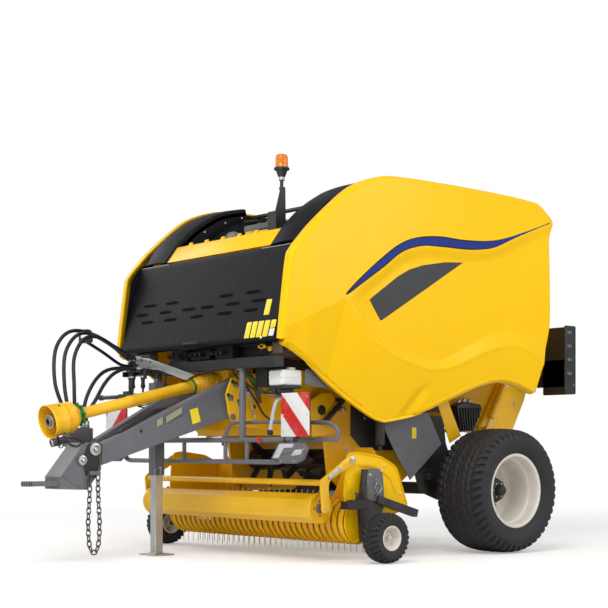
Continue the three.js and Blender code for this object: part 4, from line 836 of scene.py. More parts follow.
def shoulderShape():
    # a cross-section bent down at both edges, carried up the curved line
    line = curve(shoulderLine, 60)
    tangent = np.gradient(line, axis=0)
    tangent = unit(tangent)
    normal = np.stack([-tangent[:, 1], tangent[:, 0]], 1)
    r = shoulder["roll"]
    a = np.linspace(0, math.pi / 2, 7)
    left = np.stack([shoulder["inner"] + r * (1 - np.sin(a[::-1])), -r * (1 - np.cos(a[::-1]))], 1)
    middle = np.stack([np.linspace(shoulder["inner"] + r, shoulder["outer"] - r, 24),
        0.01 * np.sin(np.linspace(0, math.pi, 24))], 1)
    right = np.stack([shoulder["outer"] - r * (1 - np.sin(a)), -r * (1 - np.cos(a))], 1)
    section = np.concatenate([[(shoulder["inner"], -0.06)], left, middle[1:-1], right, [(shoulder["outer"], -0.075)]])
    points = np.zeros((len(line), len(section), 3))
    points[..., 0] = section[None, :, 0]
    points[..., 1:] = line[:, None] + normal[:, None] * section[None, :, 1, None]
    # the skirt stays above the crossbeam's ledge
    points[..., 2] = np.maximum(points[..., 2], 2.4035)
    return gridShape(points)


shoulderSkin = shoulderShape()
# the wall that drops from the inner edge closes the side of the well
wallTop = curve(shoulderLine, 40) + np.array([[0.004, -0.006]])
shoulderWall = plate(np.concatenate([wallTop, [(-1.18, 2.86), (-1.33, 2.7), (-1.6, 2.52), (-1.9, 2.4035)]]), 0.69,
    0.6995, "x", 0.001)
shoulderRail = block(0.69, 0.6995, -1.18, -0.3, 2.862, 2.892, 0.002)
shoulderFeet = join(block(0.6305, 0.691, -1.56, -1.4, 2.56, 2.64, 0.004),
    block(0.6305, 0.691, -1.79, -1.73, 2.38, 2.44, 0.004))
for side, flip in bothHands:
    screws = bolts([(0.6895, y, z) for y, z in ((-1.8, 2.56), (-1.62, 2.7), (-1.4, 2.8), (-1.22, 2.86))], (-1, 0, 0),
        0.008)
    makePiece("shoulder_cover_" + side + "_skin", [(shoulderSkin, hoodBlack)], "chassis", "shoulder_cover_" + side,
        40, [("SOLIDIFY", {"thickness": shoulder["wall"], "offset": -1.0})], flip=flip)
    makePiece("shoulder_cover_" + side + "_wall", [(shoulderWall, shoulderRail, shoulderFeet, hoodBlack),
        (screws, zinc)], "chassis", (), flip=flip)
print("hood and shoulders made")


# tyres and wheels
tyre = {"x": 1.175, "z": 0.51, "radius": 0.51, "half": 0.25, "lugs": 46, "depth": 0.019, "crown": 0.865, "slant": 1.5,
    "middle": 0.3, "grooves": ((0.0, 0.035), (0.2, 0.035), (0.4, 0.035), (0.6, 0.035)), "around": 552, "across": 128}
tyreSection = [(0.287, 0.19), (0.2885, 0.2005), (0.3, 0.2045), (0.312, 0.2075), (0.322, 0.215), (0.345, 0.2315),
    (0.38, 0.245), (0.41, 0.249), (0.435, 0.2455), (0.458, 0.237), (0.476, 0.225), (0.489, 0.208), (0.498, 0.18),
    (0.504, 0.135), (0.508, 0.08), (0.51, 0.0)]


def wave(t):
    # a triangle wave between -1 and 1
    return 2 * np.abs(2 * (t - np.floor(t + 0.5))) - 1


def treadHeight(a, x, r, v):
    # lugs slanting away from the middle and deepest at the shoulder, with ribs running round between them
    side = np.abs(x) / v["half"]
    turnsRound = a / (2 * math.pi) * v["lugs"]
    phase = (turnsRound + v["slant"] * side + np.where(x > 0, 0.0, 0.5)) % 1.0
    gap = 0.26 + 0.14 * eased(side, 0.45, 0.95)
    blocks = eased(np.minimum(phase, 1 - phase), gap * 0.5 - 0.09, gap * 0.5 + 0.06)
    deep = v["middle"] + (1 - v["middle"]) * eased(side, 0.5, 0.85)
    groove = np.zeros_like(a)
    for centre, width in v["grooves"]:
        near = np.abs(side - centre - 0.012 * wave(turnsRound + centre * 3))
        groove = np.maximum(groove, 1 - eased(near, width * 0.4, width * 1.5))
    crown = eased(r, v["radius"] * v["crown"], v["radius"] * (v["crown"] + 0.04))
    ribs = eased(r, v["radius"] * 0.76, v["radius"] * 0.8) * (1 - eased(r, v["radius"] * (v["crown"] - 0.01),
        v["radius"] * (v["crown"] + 0.01)))
    fine = ribs * 0.0022 * eased(np.sin(a * v["lugs"] * 4), -0.3, 0.5)
    cut = v["depth"] * crown * np.maximum((1 - blocks) * deep, groove * 0.62)
    return fine - cut


def tyreShape(v, section, centre, liner):
    # the section turned round the axle; the crown is pushed in where there is a groove
    half = curve(section, v["across"] // 2)
    whole = np.concatenate([half * np.array([1, -1]), half[::-1][1:]])
    d = np.gradient(whole, axis=0)
    normal = np.stack([d[:, 1], -d[:, 0]], 1)
    normal = unit(normal)
    normal *= np.sign(normal[len(whole) // 2, 0])
    a = fullTurn(v["around"])[:, None]
    r, x = np.broadcast_to(whole[None, :, 0], (v["around"], len(whole))), np.broadcast_to(whole[None, :, 1],
        (v["around"], len(whole)))
    lift = treadHeight(a + 0 * r, x, r, v)
    lift = np.minimum(lift, 0.0) + np.maximum(lift, 0.0) * (r < v["radius"] * 0.95)
    r, x = r + normal[None, :, 0] * lift, x + normal[None, :, 1] * lift
    x = np.clip(x, -v["half"], v["half"])
    inside = np.array(liner)
    inner = np.broadcast_to(inside[None], (v["around"], len(inside), 2))
    r, x = np.concatenate([r, inner[..., 0]], 1), np.concatenate([x, inner[..., 1]], 1)
    points = np.stack([centre[0] + x, centre[1] + r * np.cos(a), centre[2] + r * np.sin(a)], -1)
    return gridShape(points, roundRows=True, roundColumns=True)


rim = {"studs": 8, "studCircle": 0.136, "valve": 0.06}
rimProfile = [(0.286, 0.2045), (0.302, 0.2055), (0.3035, 0.209), (0.3, 0.2125), (0.29, 0.2135), (0.281, 0.209),
    (0.277, 0.2), (0.274, 0.17), (0.272, 0.122), (0.268, 0.114), (0.26, 0.109), (0.256, 0.098), (0.251, -0.02),
    (0.246, -0.05), (0.238, -0.068), (0.23, -0.078), (0.23, -0.094), (0.262, -0.115), (0.27, -0.14), (0.276, -0.195),
    (0.281, -0.209), (0.29, -0.2135), (0.3, -0.2125), (0.3035, -0.209), (0.302, -0.2055), (0.286, -0.2045),
    (0.286, -0.15), (0.279, -0.13), (0.27, -0.1), (0.262, -0.05), (0.266, 0.08), (0.279, 0.118), (0.284, 0.15)]
discProfile = [(0.24, -0.066), (0.228, -0.079), (0.205, -0.085), (0.18, -0.087), (0.174, -0.083), (0.164, -0.081),
    (0.112, -0.081), (0.112, -0.095), (0.165, -0.095), (0.205, -0.099), (0.24, -0.092)]
hubProfile = [(0, 0.022), (0.07, 0.022), (0.083, 0.016), (0.096, 0.004), (0.103, -0.012), (0.108, -0.06),
    (0.1135, -0.07), (0.1135, -0.088), (0, -0.088)]
capProfile = [(0, 0.0755), (0.018, 0.075), (0.034, 0.071), (0.043, 0.062), (0.047, 0.048), (0.047, 0.022), (0, 0.022)]
backHub = [(0, -0.235), (0.066, -0.235), (0.078, -0.228), (0.086, -0.16), (0.108, -0.11), (0.112, -0.096), (0, -0.096)]
for side, sign in (("left", 1), ("right", -1)):
    centre = (sign * tyre["x"], 0, tyre["z"])
    body = "wheel_" + side
    liner = [(0.3, 0.17), (0.45, 0.205), (0.482, 0.14), (0.486, 0.0), (0.482, -0.14), (0.45, -0.205), (0.3, -0.17)]
    makePiece("tyre_" + side + "_rubber", [(tyreShape(tyre, tyreSection, centre, liner), tyreRubber)], body,
        "tyre_" + side, 40)
    out = (sign, 0, 0)
    spots = np.radians(np.arange(rim["studs"]) * 360 / rim["studs"] + 22.5)
    studs = [around((centre[0] - sign * 0.08, 0, centre[2]), rim["studCircle"], t) for t in spots]
    nuts = bolts(studs, out, 0.0125, 1.45)
    stems = join(*(rod(p, (p[0] + sign * 0.024, *p[1:]), 0.0065, 0.002, 10) for p in studs))
    capBolts = bolts([around((centre[0] + sign * 0.0215, 0, centre[2]), 0.06, t)
        for t in np.radians(np.arange(6) * 60.0)], out, 0.006)
    valve = join(disc((centre[0] + sign * rim["valve"], -0.175, centre[2] - 0.175), (sign * 0.2, 0.7, 0.7), 0.014,
        0.012, 0.003), rod((centre[0] + sign * rim["valve"], -0.171, centre[2] - 0.171),
        (centre[0] + sign * (rim["valve"] + 0.014), -0.145, centre[2] - 0.145), 0.0045))
    makePiece("wheel_rim_" + side + "_dish", [(turned(rimProfile, centre, out, 128, closed=True), rimWhite),
        (turned(discProfile, centre, out, 128, closed=True), rimWhite)], body, "wheel_rim_" + side, 50)
    makePiece("wheel_hub_" + side, [(turned(hubProfile, centre, out, 8), castBlack),
        (turned(capProfile, centre, out, 40), castBlack), (turned(backHub, centre, out, 40), castBlack),
        (nuts, plainSteel), (stems, plainSteel), (capBolts, zinc), (valve, hoseRubber)], body, (), 30)


# gauge wheels of the pick-up
gauge = {"x": 1.42, "y": -1.5, "z": 0.19, "radius": 0.19, "half": 0.08, "lugs": 26, "depth": 0.013, "crown": 0.8,
    "slant": 0.6, "middle": 0.8, "grooves": ((0.32, 0.07),), "around": 390, "across": 84}
gaugeSection = [(0.088, 0.056), (0.09, 0.064), (0.099, 0.067), (0.114, 0.0735), (0.14, 0.0795), (0.155, 0.079),
    (0.168, 0.0745), (0.178, 0.066), (0.184, 0.05), (0.188, 0.025), (0.19, 0.0)]
gaugeRim = [(0.1, 0.062), (0.106, 0.0655), (0.106, 0.0695), (0.098, 0.071), (0.092, 0.066), (0.086, 0.046),
    (0.072, 0.02), (0.06, 0.01), (0.05, 0.012), (0.044, 0.02), (0.034, 0.022), (0.03, 0.03), (0.02, 0.031),
    (0.02, 0.018), (0.028, 0.016), (0.046, 0.004), (0.062, 0.0), (0.078, 0.012), (0.09, 0.036), (0.094, 0.054)]
gaugeRim = [(r * 0.88 if r > 0.031 else r, x) for r, x in gaugeRim]
gaugeHub = [(0, 0.058), (0.012, 0.057), (0.021, 0.052), (0.024, 0.044), (0.025, 0.028), (0, 0.028)]
for side, sign in (("left", 1), ("right", -1)):
    centre = (sign * gauge["x"], gauge["y"], gauge["z"])
    name = "gauge_wheel_" + side
    liner = [(0.093, 0.05), (0.14, 0.056), (0.166, 0.036), (0.168, 0.0), (0.166, -0.036), (0.14, -0.056),
        (0.093, -0.05)]
    rims = join(*(turned(gaugeRim, centre, (s, 0, 0), 64, closed=True) for s in (1, -1)))
    hubs = [turned(gaugeHub, centre, (s, 0, 0), 32) for s in (1, -1)]
    hubs = join(*hubs, rod((centre[0] - 0.03, *centre[1:]), (centre[0] + 0.03, *centre[1:]), 0.0245))
    quarters = np.radians([0, 90, 180, 270])
    rimBolts = join(*(bolts([around((centre[0] + s * 0.0125, *centre[1:]), 0.056, t) for t in quarters], (s, 0, 0),
        0.006) for s in (1, -1)))
    makePiece(name + "_tyre", [(tyreShape(gauge, gaugeSection, centre, liner), tyreRubber)], name, name, 40)
    makePiece(name + "_rim", [(rims, rimWhite), (hubs, silverPlastic), (rimBolts, zinc)], name, (), 30)
print("wheels made")


# drawbar, hitch and safety chain
softened("drawbar_leg_left", frameGrey, 0.004)
softened("drawbar_leg_right", frameGrey, 0.004)
softened("drawbar_head", frameGrey, 0.003)


leg = {"rootY": -1.98, "rootX": 0.25, "endY": -3.15, "endX": 0.045, "thick": 0.076}


def onLeg(y, z, lift=0.0, sign=1):
    # a point on the outer face of a drawbar leg
    slope = (leg["rootX"] - leg["endX"]) / (leg["rootY"] - leg["endY"])
    return sign * (leg["rootX"] + min(y - leg["rootY"], 0.0) * slope + leg["thick"] + lift), y, z


def legPlate(corners, thick, sign=1, lift=0.0006):
    # a thin plate that lies on the leg's outer face
    outer = np.array([onLeg(y, z, lift + thick, sign) for y, z in corners])
    inner = np.array([onLeg(y, z, lift, sign) for y, z in corners])
    return gridShape(np.array([inner, outer]), roundColumns=True, capped=True)


hitchBolts, hitchWashers, blackPlates = [], [], []
for sign in (1, -1):
    for (y, z), size in (((-3.215, 0.85), 0.036), ((-3.32, 0.77), 0.028)):
        x = sign * (0.1305 if size > 0.03 else 0.1265)
        hitchWashers.append(disc((x, y, z), (sign, 0, 0), size * 1.3, 0.008, 0.003, 36))
        hitchBolts.append(turned([(0, 0.03), (size * 0.35, 0.03), (size * 0.5, 0.027), (size * 0.55, 0.022),
            (size * 0.55, 0.008), (0, 0.008)], (x, y, z), (sign, 0, 0), 6))
    cheek = rounded([(-3.175, 0.893), (-3.262, 0.893), (-3.3, 0.8), (-3.29, 0.66), (-3.205, 0.64), (-3.17, 0.74)], 0.02)
    low, high = sorted((sign * 0.1105, sign * 0.1245))
    blackPlates.append(plate(cheek, low, high, "x", 0.003))
ringLip = turned([(0.0265, -0.0165), (0.034, -0.0185), (0.05, -0.018), (0.0555, -0.013), (0.0555, 0.013), (0.05, 0.018),
    (0.034, 0.0185), (0.0265, 0.0165)], (0, -3.69, 0.6), upward, 64, closed=True)
headSeams = bothSides(tube([(0.1105, -3.33, 0.575), (0.1105, -3.4, 0.6), (0.1105, -3.485, 0.66)], 0.004, 8))
legSigns = legPlate([(-2.446, 1.15), (-2.38, 1.169), (-2.354, 1.062), (-2.422, 1.04)], 0.001)
legPale = join(legPlate([(-2.64, 1.096), (-2.511, 1.172), (-2.511, 1.122), (-2.64, 1.048)], 0.001),
    legPlate([(-2.716, 1.07), (-2.668, 1.096), (-2.668, 1.04), (-2.716, 1.014)], 0.001))
legBolt = bolt(onLeg(-2.84, 0.985, 0.0005), left, 0.009)
# a black tray between the legs carries the parked shaft's rest and the wiring
wedge = plate([(-2.3, 1.225), (-2.98, 0.985), (-3.03, 0.935), (-2.92, 0.925), (-2.36, 1.165)], 0.085, 0.118, "x", 0.004)
wedgeTop = plate([(-2.4, 1.193), (-2.66, 1.155), (-2.95, 1.015), (-3.0, 0.965)], 0.088, 0.1, "x", 0.003)
wire = tube(curve([(0.135, -2.5, 1.165), (0.125, -2.7, 1.1), (0.118, -2.9, 1.02), (0.112, -3.05, 0.955),
    (0.105, -3.12, 0.925)], 50), 0.006, 8)
ties = join(*(disc((0.1215 - 0.0175 * t, -2.62 - 0.36 * t, 1.118 - 0.135 * t), (0, -1, -0.4), 0.012, 0.006, 0.001, 14,
    0.0055) for t in (0.1, 0.5, 0.9)))
makePiece("hitch_fittings", [(*hitchWashers, zinc), (*hitchBolts, zinc), (*blackPlates, satinBlack),
    (ringLip, castBlack), (headSeams, frameGrey), (legBolt, satinBlack)], "chassis", (), 30)
makePiece("drawbar_signs", [(legSigns, plateYellow), (legPale, plateDull)], "chassis", ())
makePiece("drawbar_wiring", [(wedge, wedgeTop, satinBlack), (wire, hoseRubber), (ties, darkPlastic)], "chassis", ())

chain = {"x": 0.131, "wire": 0.0098, "long": 0.027, "wide": 0.0155, "pitch": 0.039}
chainLine = curve([(-3.262, 0.6597), (-3.262, 0.52), (-3.275, 0.3), (-3.262, 0.14), (-3.2255, 0.092), (-3.19, 0.14),
    (-3.178, 0.3), (-3.19, 0.52), (-3.19, 0.6597)], 400)


def chainLinks(v, line):
    # oval links hooked through each other, every second one turned by a quarter
    steps = np.concatenate([[0], np.cumsum(np.linalg.norm(np.diff(line, axis=0), axis=1))])
    count = int(steps[-1] / v["pitch"])
    a = fullTurn(20)
    links = []
    for k in range(count):
        at = (k + 0.5) * steps[-1] / count
        y, z = np.interp(at, steps, line[:, 0]), np.interp(at, steps, line[:, 1])
        y2, z2 = np.interp(min(at + 0.004, steps[-1]), steps, line[:, 0]), np.interp(min(at + 0.004, steps[-1]), steps,
            line[:, 1])
        y1, z1 = np.interp(max(at - 0.004, 0), steps, line[:, 0]), np.interp(max(at - 0.004, 0), steps, line[:, 1])
        t = np.array([0, y2 - y1, z2 - z1])
        t = unit(t)
        across = np.array([1.0, 0, 0]) if k % 2 else np.cross(t, (1.0, 0, 0))
        long = np.cos(a) * v["wide"] * 0.9 + np.sign(np.cos(a)) * (v["long"] - v["wide"]) * np.abs(np.cos(a)) ** 0.35
        path = np.array([v["x"], y, z]) + long[:, None] * t + np.sin(a)[:, None] * v["wide"] * across
        links.append(tube(path, v["wire"] * 0.55, 8, closed=True))
    return join(*links)


chainLugs = join(*(disc((0.119, y, 0.672), left, 0.018, 0.024, 0.003, 24, 0.008) for y in (-3.262, -3.19)))
makePiece("safety_chain_links", [(chainLinks(chain, chainLine), chainGrey), (chainLugs, castBlack)], "chassis",
    "safety_chain", 60)
print("drawbar made")


# drive shaft and its guard
shaft = {"rear": (0, -2.128, 1.372), "front": (0, -3.54, 1.046)}
shaftA, shaftB = np.array(shaft["rear"]), np.array(shaft["front"])
shaftWay = unit(shaftB - shaftA)
shaftLong = float(np.linalg.norm(shaftB - shaftA))


def onShaft(d, turnDegrees=0.0, r=0.0):
    side = np.array([1.0, 0, 0])
    up = np.cross(side, shaftWay) * -1
    t = math.radians(turnDegrees)
    return shaftA + shaftWay * d + (side * math.cos(t) + up * math.sin(t)) * r


def ribbed(x0, r0, x1, r1, count, depth):
    # rows of a bellows: crests and valleys by turns along a straight cone
    rows = []
    for i in range(count * 4 + 1):
        t = i / (count * 4)
        rows.append((r0 + (r1 - r0) * t - depth * (0.5 - 0.5 * math.cos(2 * math.pi * t * count)), x0 + (x1 - x0) * t))
    return rows


tip = shaftLong
tubeFront = [(0.0395, 0.1), (0.0455, 0.1), (0.0455, 0.3), (0.0455, 0.52), (0.0455, 0.705), (0.047, 0.712),
    (0.047, 0.735), (0.0425, 0.742), (0.0425, tip - 0.24), (0.0395, tip - 0.24)]
rearCone = [(0.0735, -0.052), (0.078, -0.06), (0.0795, -0.0585), (0.079, -0.048),
    *ribbed(-0.045, 0.0785, 0.085, 0.06, 5, 0.005), (0.054, 0.095), (0.054, 0.13), (0.0455, 0.135), (0.0455, 0.1),
    (0.052, 0.085), (0.0725, -0.045)]
frontCone = [(0.047, tip - 0.262), (0.06, tip - 0.262), (0.064, tip - 0.258), (0.096, tip - 0.222),
    (0.104, tip - 0.214), (0.108, tip - 0.205), *[(0.108 + 0.0035 * (k % 2), tip - 0.2 + 0.006 * k) for k in range(10)],
    (0.112, tip - 0.135), (0.119, tip - 0.128), (0.1205, tip - 0.118), (0.1185, tip - 0.108), (0.1185, tip - 0.055),
    (0.1215, tip - 0.05), (0.1225, tip - 0.02), (0.1255, tip - 0.014), (0.1258, tip - 0.004), (0.1235, tip - 0.0005),
    (0.1195, tip - 0.003), (0.1175, tip - 0.018), (0.1115, tip - 0.12), (0.103, tip - 0.19), (0.06, tip - 0.245),
    (0.047, tip - 0.25)]


def lobes(d0, d1, r, count, depth):
    # a ring whose outer face swells into lobes
    a = fullTurn(120)
    rise = depth * eased(np.cos(a * count), 0.2, 0.75)
    rows = []
    for d, k in ((d0, 0.0), (d0 + 0.003, 1.0), (d1 - 0.003, 1.0), (d1, 0.0), (d1, -1.0), (d0, -1.0)):
        radius = r - 0.012 if k < 0 else r + (rise + 0.002) * k
        radius = np.broadcast_to(radius, a.shape)
        rows.append(np.array([onShaft(d, math.degrees(t), q) for t, q in zip(a, radius)]))
    return gridShape(np.array(rows), roundRows=True, roundColumns=True)


greenRing = join(lobes(tip - 0.286, tip - 0.262, 0.07, 8, 0.016), lobes(tip - 0.258, tip - 0.246, 0.074, 6, 0.008))
greenRear = lobes(0.118, 0.134, 0.0545, 6, 0.006)
latchLine = ((0.205, -6, 0.117), (0.195, -3, 0.121), (0.195, 3, 0.121), (0.205, 6, 0.117))
latches = join(*(tube([onShaft(tip - d, t + more, r) for d, more, r in latchLine], 0.004, 8) for t in (20, 140, 260)))
spring = join(*(disc(onShaft(tip - 0.09, t, 0.1185), onShaft(0, t, 1.0) - shaftA, 0.01, 0.004, 0.001)
    for t in (60, 180, 300)))
makePiece("shaft_guard_tube", [(turned(tubeFront, shaftA, shaftWay, 48, closed=True), conePlastic),
    (turned(rearCone, shaftA, shaftWay, 64, closed=True), conePlastic),
    (turned(frontCone, shaftA, shaftWay, 96, closed=True), conePlastic), (greenRing, greenRear, greenPlastic),
    (latches, conePlastic), (spring, greenPlastic)], "chassis", "drive_shaft_guard", 36)

# inside the cone: a forked end, the cross between the forks and a splined bore
yoke = turned([(0.0225, tip - 0.004), (0.0225, tip - 0.075), (0.034, tip - 0.078), (0.04, tip - 0.07),
    (0.041, tip - 0.01), (0.038, tip - 0.003), (0.03, tip - 0.0005)], shaftA, shaftWay, 48, closed=True)
collar = turned([(0.0405, tip - 0.05), (0.05, tip - 0.048), (0.052, tip - 0.044), (0.052, tip - 0.022),
    (0.05, tip - 0.018), (0.0405, tip - 0.016)], shaftA, shaftWay, 48, closed=True)
splines = join(*(tube([onShaft(tip - 0.073, t, 0.0225), onShaft(tip - 0.006, t, 0.0225)], 0.0028, 6)
    for t in range(0, 360, 60)))


def fork(near, far, turn):
    # two flat ears that reach from one yoke past the middle of the cross
    ears = []
    for t in (turn, turn + 180):
        middle = onShaft((near + far) / 2, t, 0.034)
        path = np.array([onShaft(near, t, 0.022), onShaft(near + (far - near) * 0.3, t, 0.034),
            onShaft(near + (far - near) * 0.65, t, 0.037), onShaft(far, t, 0.037)])
        ears.append(along(curve(path, 14), circle(0.019, 12, 0.42), up=onShaft(0, t, 1.0) - shaftA))
        ears.append(rod(onShaft(far - (far - near) * 0.2, t, 0.026), onShaft(far - (far - near) * 0.2, t, 0.046), 0.016,
            0.002, 20))
    return join(*ears)


forks = join(fork(tip - 0.185, tip - 0.115, 0), fork(tip - 0.072, tip - 0.142, 90))
cross = join(*(rod(onShaft(tip - 0.129, t, 0.04), onShaft(tip - 0.129, t + 180, 0.04), 0.0105) for t in (0, 90)))
innerTube = turned([(0, 0.02), (0.026, 0.02), (0.028, 0.04), (0.028, tip - 0.21), (0.034, tip - 0.2),
    (0.034, tip - 0.18), (0, tip - 0.178)], shaftA, shaftWay, 32)
rearYoke = join(turned([(0, 0.03), (0.033, 0.03), (0.037, 0.026), (0.0375, 0.0), (0.036, -0.006), (0.0312, -0.006),
    (0.0312, 0.01), (0, 0.01)], shaftA, shaftWay, 36), fork(0.075, 0.03, 45))
shaftRings = join(*(turned([(0.0285, d), (0.0388, d), (0.0392, d + 0.004), (0.0392, d + 0.022), (0.0388, d + 0.026),
    (0.0285, d + 0.026)], shaftA, shaftWay, 36, closed=True) for d in (0.092, tip - 0.248)))
makePiece("drive_shaft_inner", [(yoke, splines, forks, innerTube, rearYoke, plainSteel), (cross, collar, zinc),
    (shaftRings, darkPlastic)], "drive_shaft", "drive_shaft", 36)

# the electric plug is parked under the cone, with its lead looped back to the drawbar
plugAt = np.array([0.085, -3.505, 0.905])
plug = join(disc(plugAt, (-0.2, -1, -0.25), 0.03, 0.05, 0.004, 28, 0.012),
    disc(plugAt + np.array([0.001, 0.006, 0.0015]), (0.2, 1, 0.25), 0.036, 0.012, 0.003, 28),
    disc(plugAt + np.array([0.004, 0.018, 0.005]), (0.2, 1, 0.25), 0.026, 0.05, 0.006, 20))
plugRing = disc(plugAt + np.array([-0.0085, -0.04, -0.01]), (-0.2, -1, -0.25), 0.0315, 0.01, 0.002, 28, 0.024)
plugLead = tube(curve([plugAt + np.array([0.016, 0.066, 0.016]), (0.11, -3.41, 0.882), (0.118, -3.36, 0.87),
    (0.112, -3.32, 0.895), (0.098, -3.28, 0.9), (0.08, -3.235, 0.9055)], 60), 0.0085, 12)
plugHook = join(tube(curve([(0.062, -3.27, 0.9005), (0.07, -3.33, 0.925), (0.08, -3.4, 0.932), (0.085, -3.45, 0.925),
    (0.086, -3.475, 0.932)], 40), 0.006, 10), disc((0.0865, -3.48, 0.898), (0, -1, -0.25), 0.042, 0.01, 0.002, 28,
    0.0365))
makePiece("parked_plug", [(plug, darkPlastic), (plugRing, zinc), (plugLead, hoseRubber), (plugHook, satinBlack)],
    "chassis", (), 34)
print("drive shaft made")


# hydraulic hoses, their rack and the connector plate
hose = {"radius": 0.0145, "sides": 14}
hoseRoutes = {
    "hose_1": [(-0.69, -2.3303, 1.585), (-0.69, -2.39, 1.585), (-0.61, -2.62, 1.69), (-0.5, -2.9, 1.765),
        (-0.4, -3.13, 1.745), (-0.31, -3.29, 1.6), (-0.25, -3.33, 1.35), (-0.233, -3.262, 1.14), (-0.235, -3.235, 1.06),
        (-0.235, -3.235, 1.0103)],
    "hose_2": [(-0.64, -2.3303, 1.585), (-0.64, -2.39, 1.585), (-0.57, -2.62, 1.68), (-0.46, -2.88, 1.75),
        (-0.36, -3.08, 1.72), (-0.27, -3.23, 1.57), (-0.215, -3.27, 1.34), (-0.19, -3.25, 1.14), (-0.185, -3.235, 1.06),
        (-0.185, -3.235, 1.0103)],
    "hose_3": [(-0.59, -2.3303, 1.585), (-0.59, -2.39, 1.585), (-0.53, -2.62, 1.665), (-0.42, -2.85, 1.725),
        (-0.32, -3.04, 1.69), (-0.24, -3.17, 1.54), (-0.19, -3.2, 1.32), (-0.19, -3.195, 1.14), (-0.19, -3.188, 1.06),
        (-0.19, -3.188, 1.0103)],
    "hose_4": [(-0.64, -2.3303, 1.5), (-0.64, -2.38, 1.5), (-0.57, -2.56, 1.5), (-0.45, -2.76, 1.465),
        (-0.33, -2.93, 1.38), (-0.255, -3.05, 1.25), (-0.232, -3.095, 1.12), (-0.232, -3.095, 1.0103)],
    "hose_5": [(-0.59, -2.3303, 1.5), (-0.59, -2.38, 1.5), (-0.52, -2.54, 1.49), (-0.4, -2.72, 1.44),
        (-0.28, -2.88, 1.35), (-0.205, -3.0, 1.23), (-0.182, -3.095, 1.11), (-0.182, -3.095, 1.0103)],
}


def crimp(place, way, radius=0.0142):
    # a pressed sleeve with grooves, a neck and a six-sided nut at its foot
    sleeve = [(0, 0.0), (radius * 1.25, 0.0), (radius * 1.25, 0.004),
        *[(radius * (1.3 + 0.09 * (k % 2)), 0.006 + 0.0035 * k) for k in range(9)], (radius * 1.28, 0.04),
        (radius * 1.06, 0.043), (0, 0.0431)]
    nut = [(0, 0.0005), (radius * 1.5, 0.0005), (radius * 1.62, 0.003), (radius * 1.62, 0.012), (radius * 1.5, 0.0145),
        (0, 0.0145)]
    return turned(sleeve, np.array(place) + np.array(way) * 0.012, way, 20), turned(nut, place, way, 6)


for name, route in hoseRoutes.items():
    line = curve(route, 110)
    fine = curve(route, 34) + np.array([0, axleY, 0])
    piece = makePiece(name + "_line", [(tube(line, hose["radius"], hose["sides"]), hoseRubber)], "chassis", name,
        40)
    start = crimp(line[0] + np.array([0, -0.0002, 0]), ahead)
    end = crimp(line[-1] + np.array([0, 0, 0.0002]), upward)
    ends = makePiece(name + "_ends", [(start[0], end[0], zinc), (start[1], end[1], plainSteel)], "chassis", (),
        30)

# the arm that holds the upper three hoses in a clamp near the top of their bend
arm = curve([(-0.754, -2.336, 1.53), (-0.745, -2.44, 1.545), (-0.62, -2.68, 1.625), (-0.44, -2.95, 1.69)], 60)
armFoot = block(-0.778, -0.73, -2.342, -2.3305, 1.48, 1.58, 0.003)
armBolts = bolts([(-0.754, -2.3425, z) for z in (1.495, 1.567)], ahead, 0.009)
clampBody = block(-0.52, -0.35, -2.964, -2.936, 1.6755, 1.715, 0.004)
clampTop = along(curve([(-0.522, -2.95, 1.715), (-0.523, -2.95, 1.752), (-0.5, -2.95, 1.766), (-0.44, -2.95, 1.769),
    (-0.38, -2.95, 1.763), (-0.353, -2.95, 1.745), (-0.35, -2.95, 1.715)], 40), oblong(-0.013, 0.013, -0.002, 0.002),
    up=behind)
makePiece("hose_arm_tube", [(tube(arm, 0.013, 16), satinBlack), (armFoot, clampBody, satinBlack),
    (clampTop, satinBlack), (armBolts, zinc)], "chassis", "hose_arm", 34)

# the shelf on the connector plate with black couplers hanging under it, and their leads
couplers, rings, top = [], [], 1.475
for x, y, size in ((-0.715, -2.345, 0.026), (-0.665, -2.365, 0.022), (-0.545, -2.345, 0.02)):
    couplers.append(turned([(0, top), (size, top), (size * 1.05, top - 0.01), (size * 1.05, top - 0.055),
        (size * 0.8, top - 0.062), (size * 0.8, top - 0.1), (size * 0.95, top - 0.104), (size * 0.95, top - 0.125),
        (size * 0.45, top - 0.135), (size * 0.4, top - 0.17), (0, top - 0.171)], (x, y, 0), upward, 24))
    rings.append(disc((x, y, top - 0.045), upward, size * 1.16, 0.014, 0.003, 24, size * 1.03))
shelf = join(block(-0.765, -0.5, -2.4, -2.3305, 1.4755, 1.4835, 0.002),
    block(-0.765, -0.757, -2.4, -2.3305, 1.44, 1.48, 0.002))
gland = join(*(join(disc((x, -2.3305, z), behind, 0.019, 0.004, 0.001, 6),
    disc((x, -2.3182, z), behind, 0.017, 0.045, 0.003, 6)) for x, _, z in (route[0] for route in hoseRoutes.values())))
leads = join(*(tube(curve(route, 60), 0.0055, 8) for route in ([(-0.715, -2.345, 1.306), (-0.712, -2.35, 1.262),
    (-0.69, -2.33, 1.222), (-0.64, -2.29, 1.205), (-0.56, -2.265, 1.235), (-0.52, -2.262, 1.33), (-0.52, -2.24, 1.45)],
    [(-0.665, -2.365, 1.305), (-0.662, -2.372, 1.25), (-0.61, -2.35, 1.2), (-0.54, -2.31, 1.19), (-0.48, -2.272, 1.24),
    (-0.47, -2.255, 1.34), (-0.475, -2.24, 1.45)], [(-0.545, -2.345, 1.305), (-0.545, -2.347, 1.268),
    (-0.52, -2.32, 1.24), (-0.49, -2.285, 1.26), (-0.485, -2.262, 1.33), (-0.49, -2.24, 1.45)])))
makePiece("connector_couplers", [(*couplers, darkPlastic), (*rings, zinc), (shelf, satinBlack), (gland, zinc),
    (leads, hoseRubber)], "chassis", (), 34)
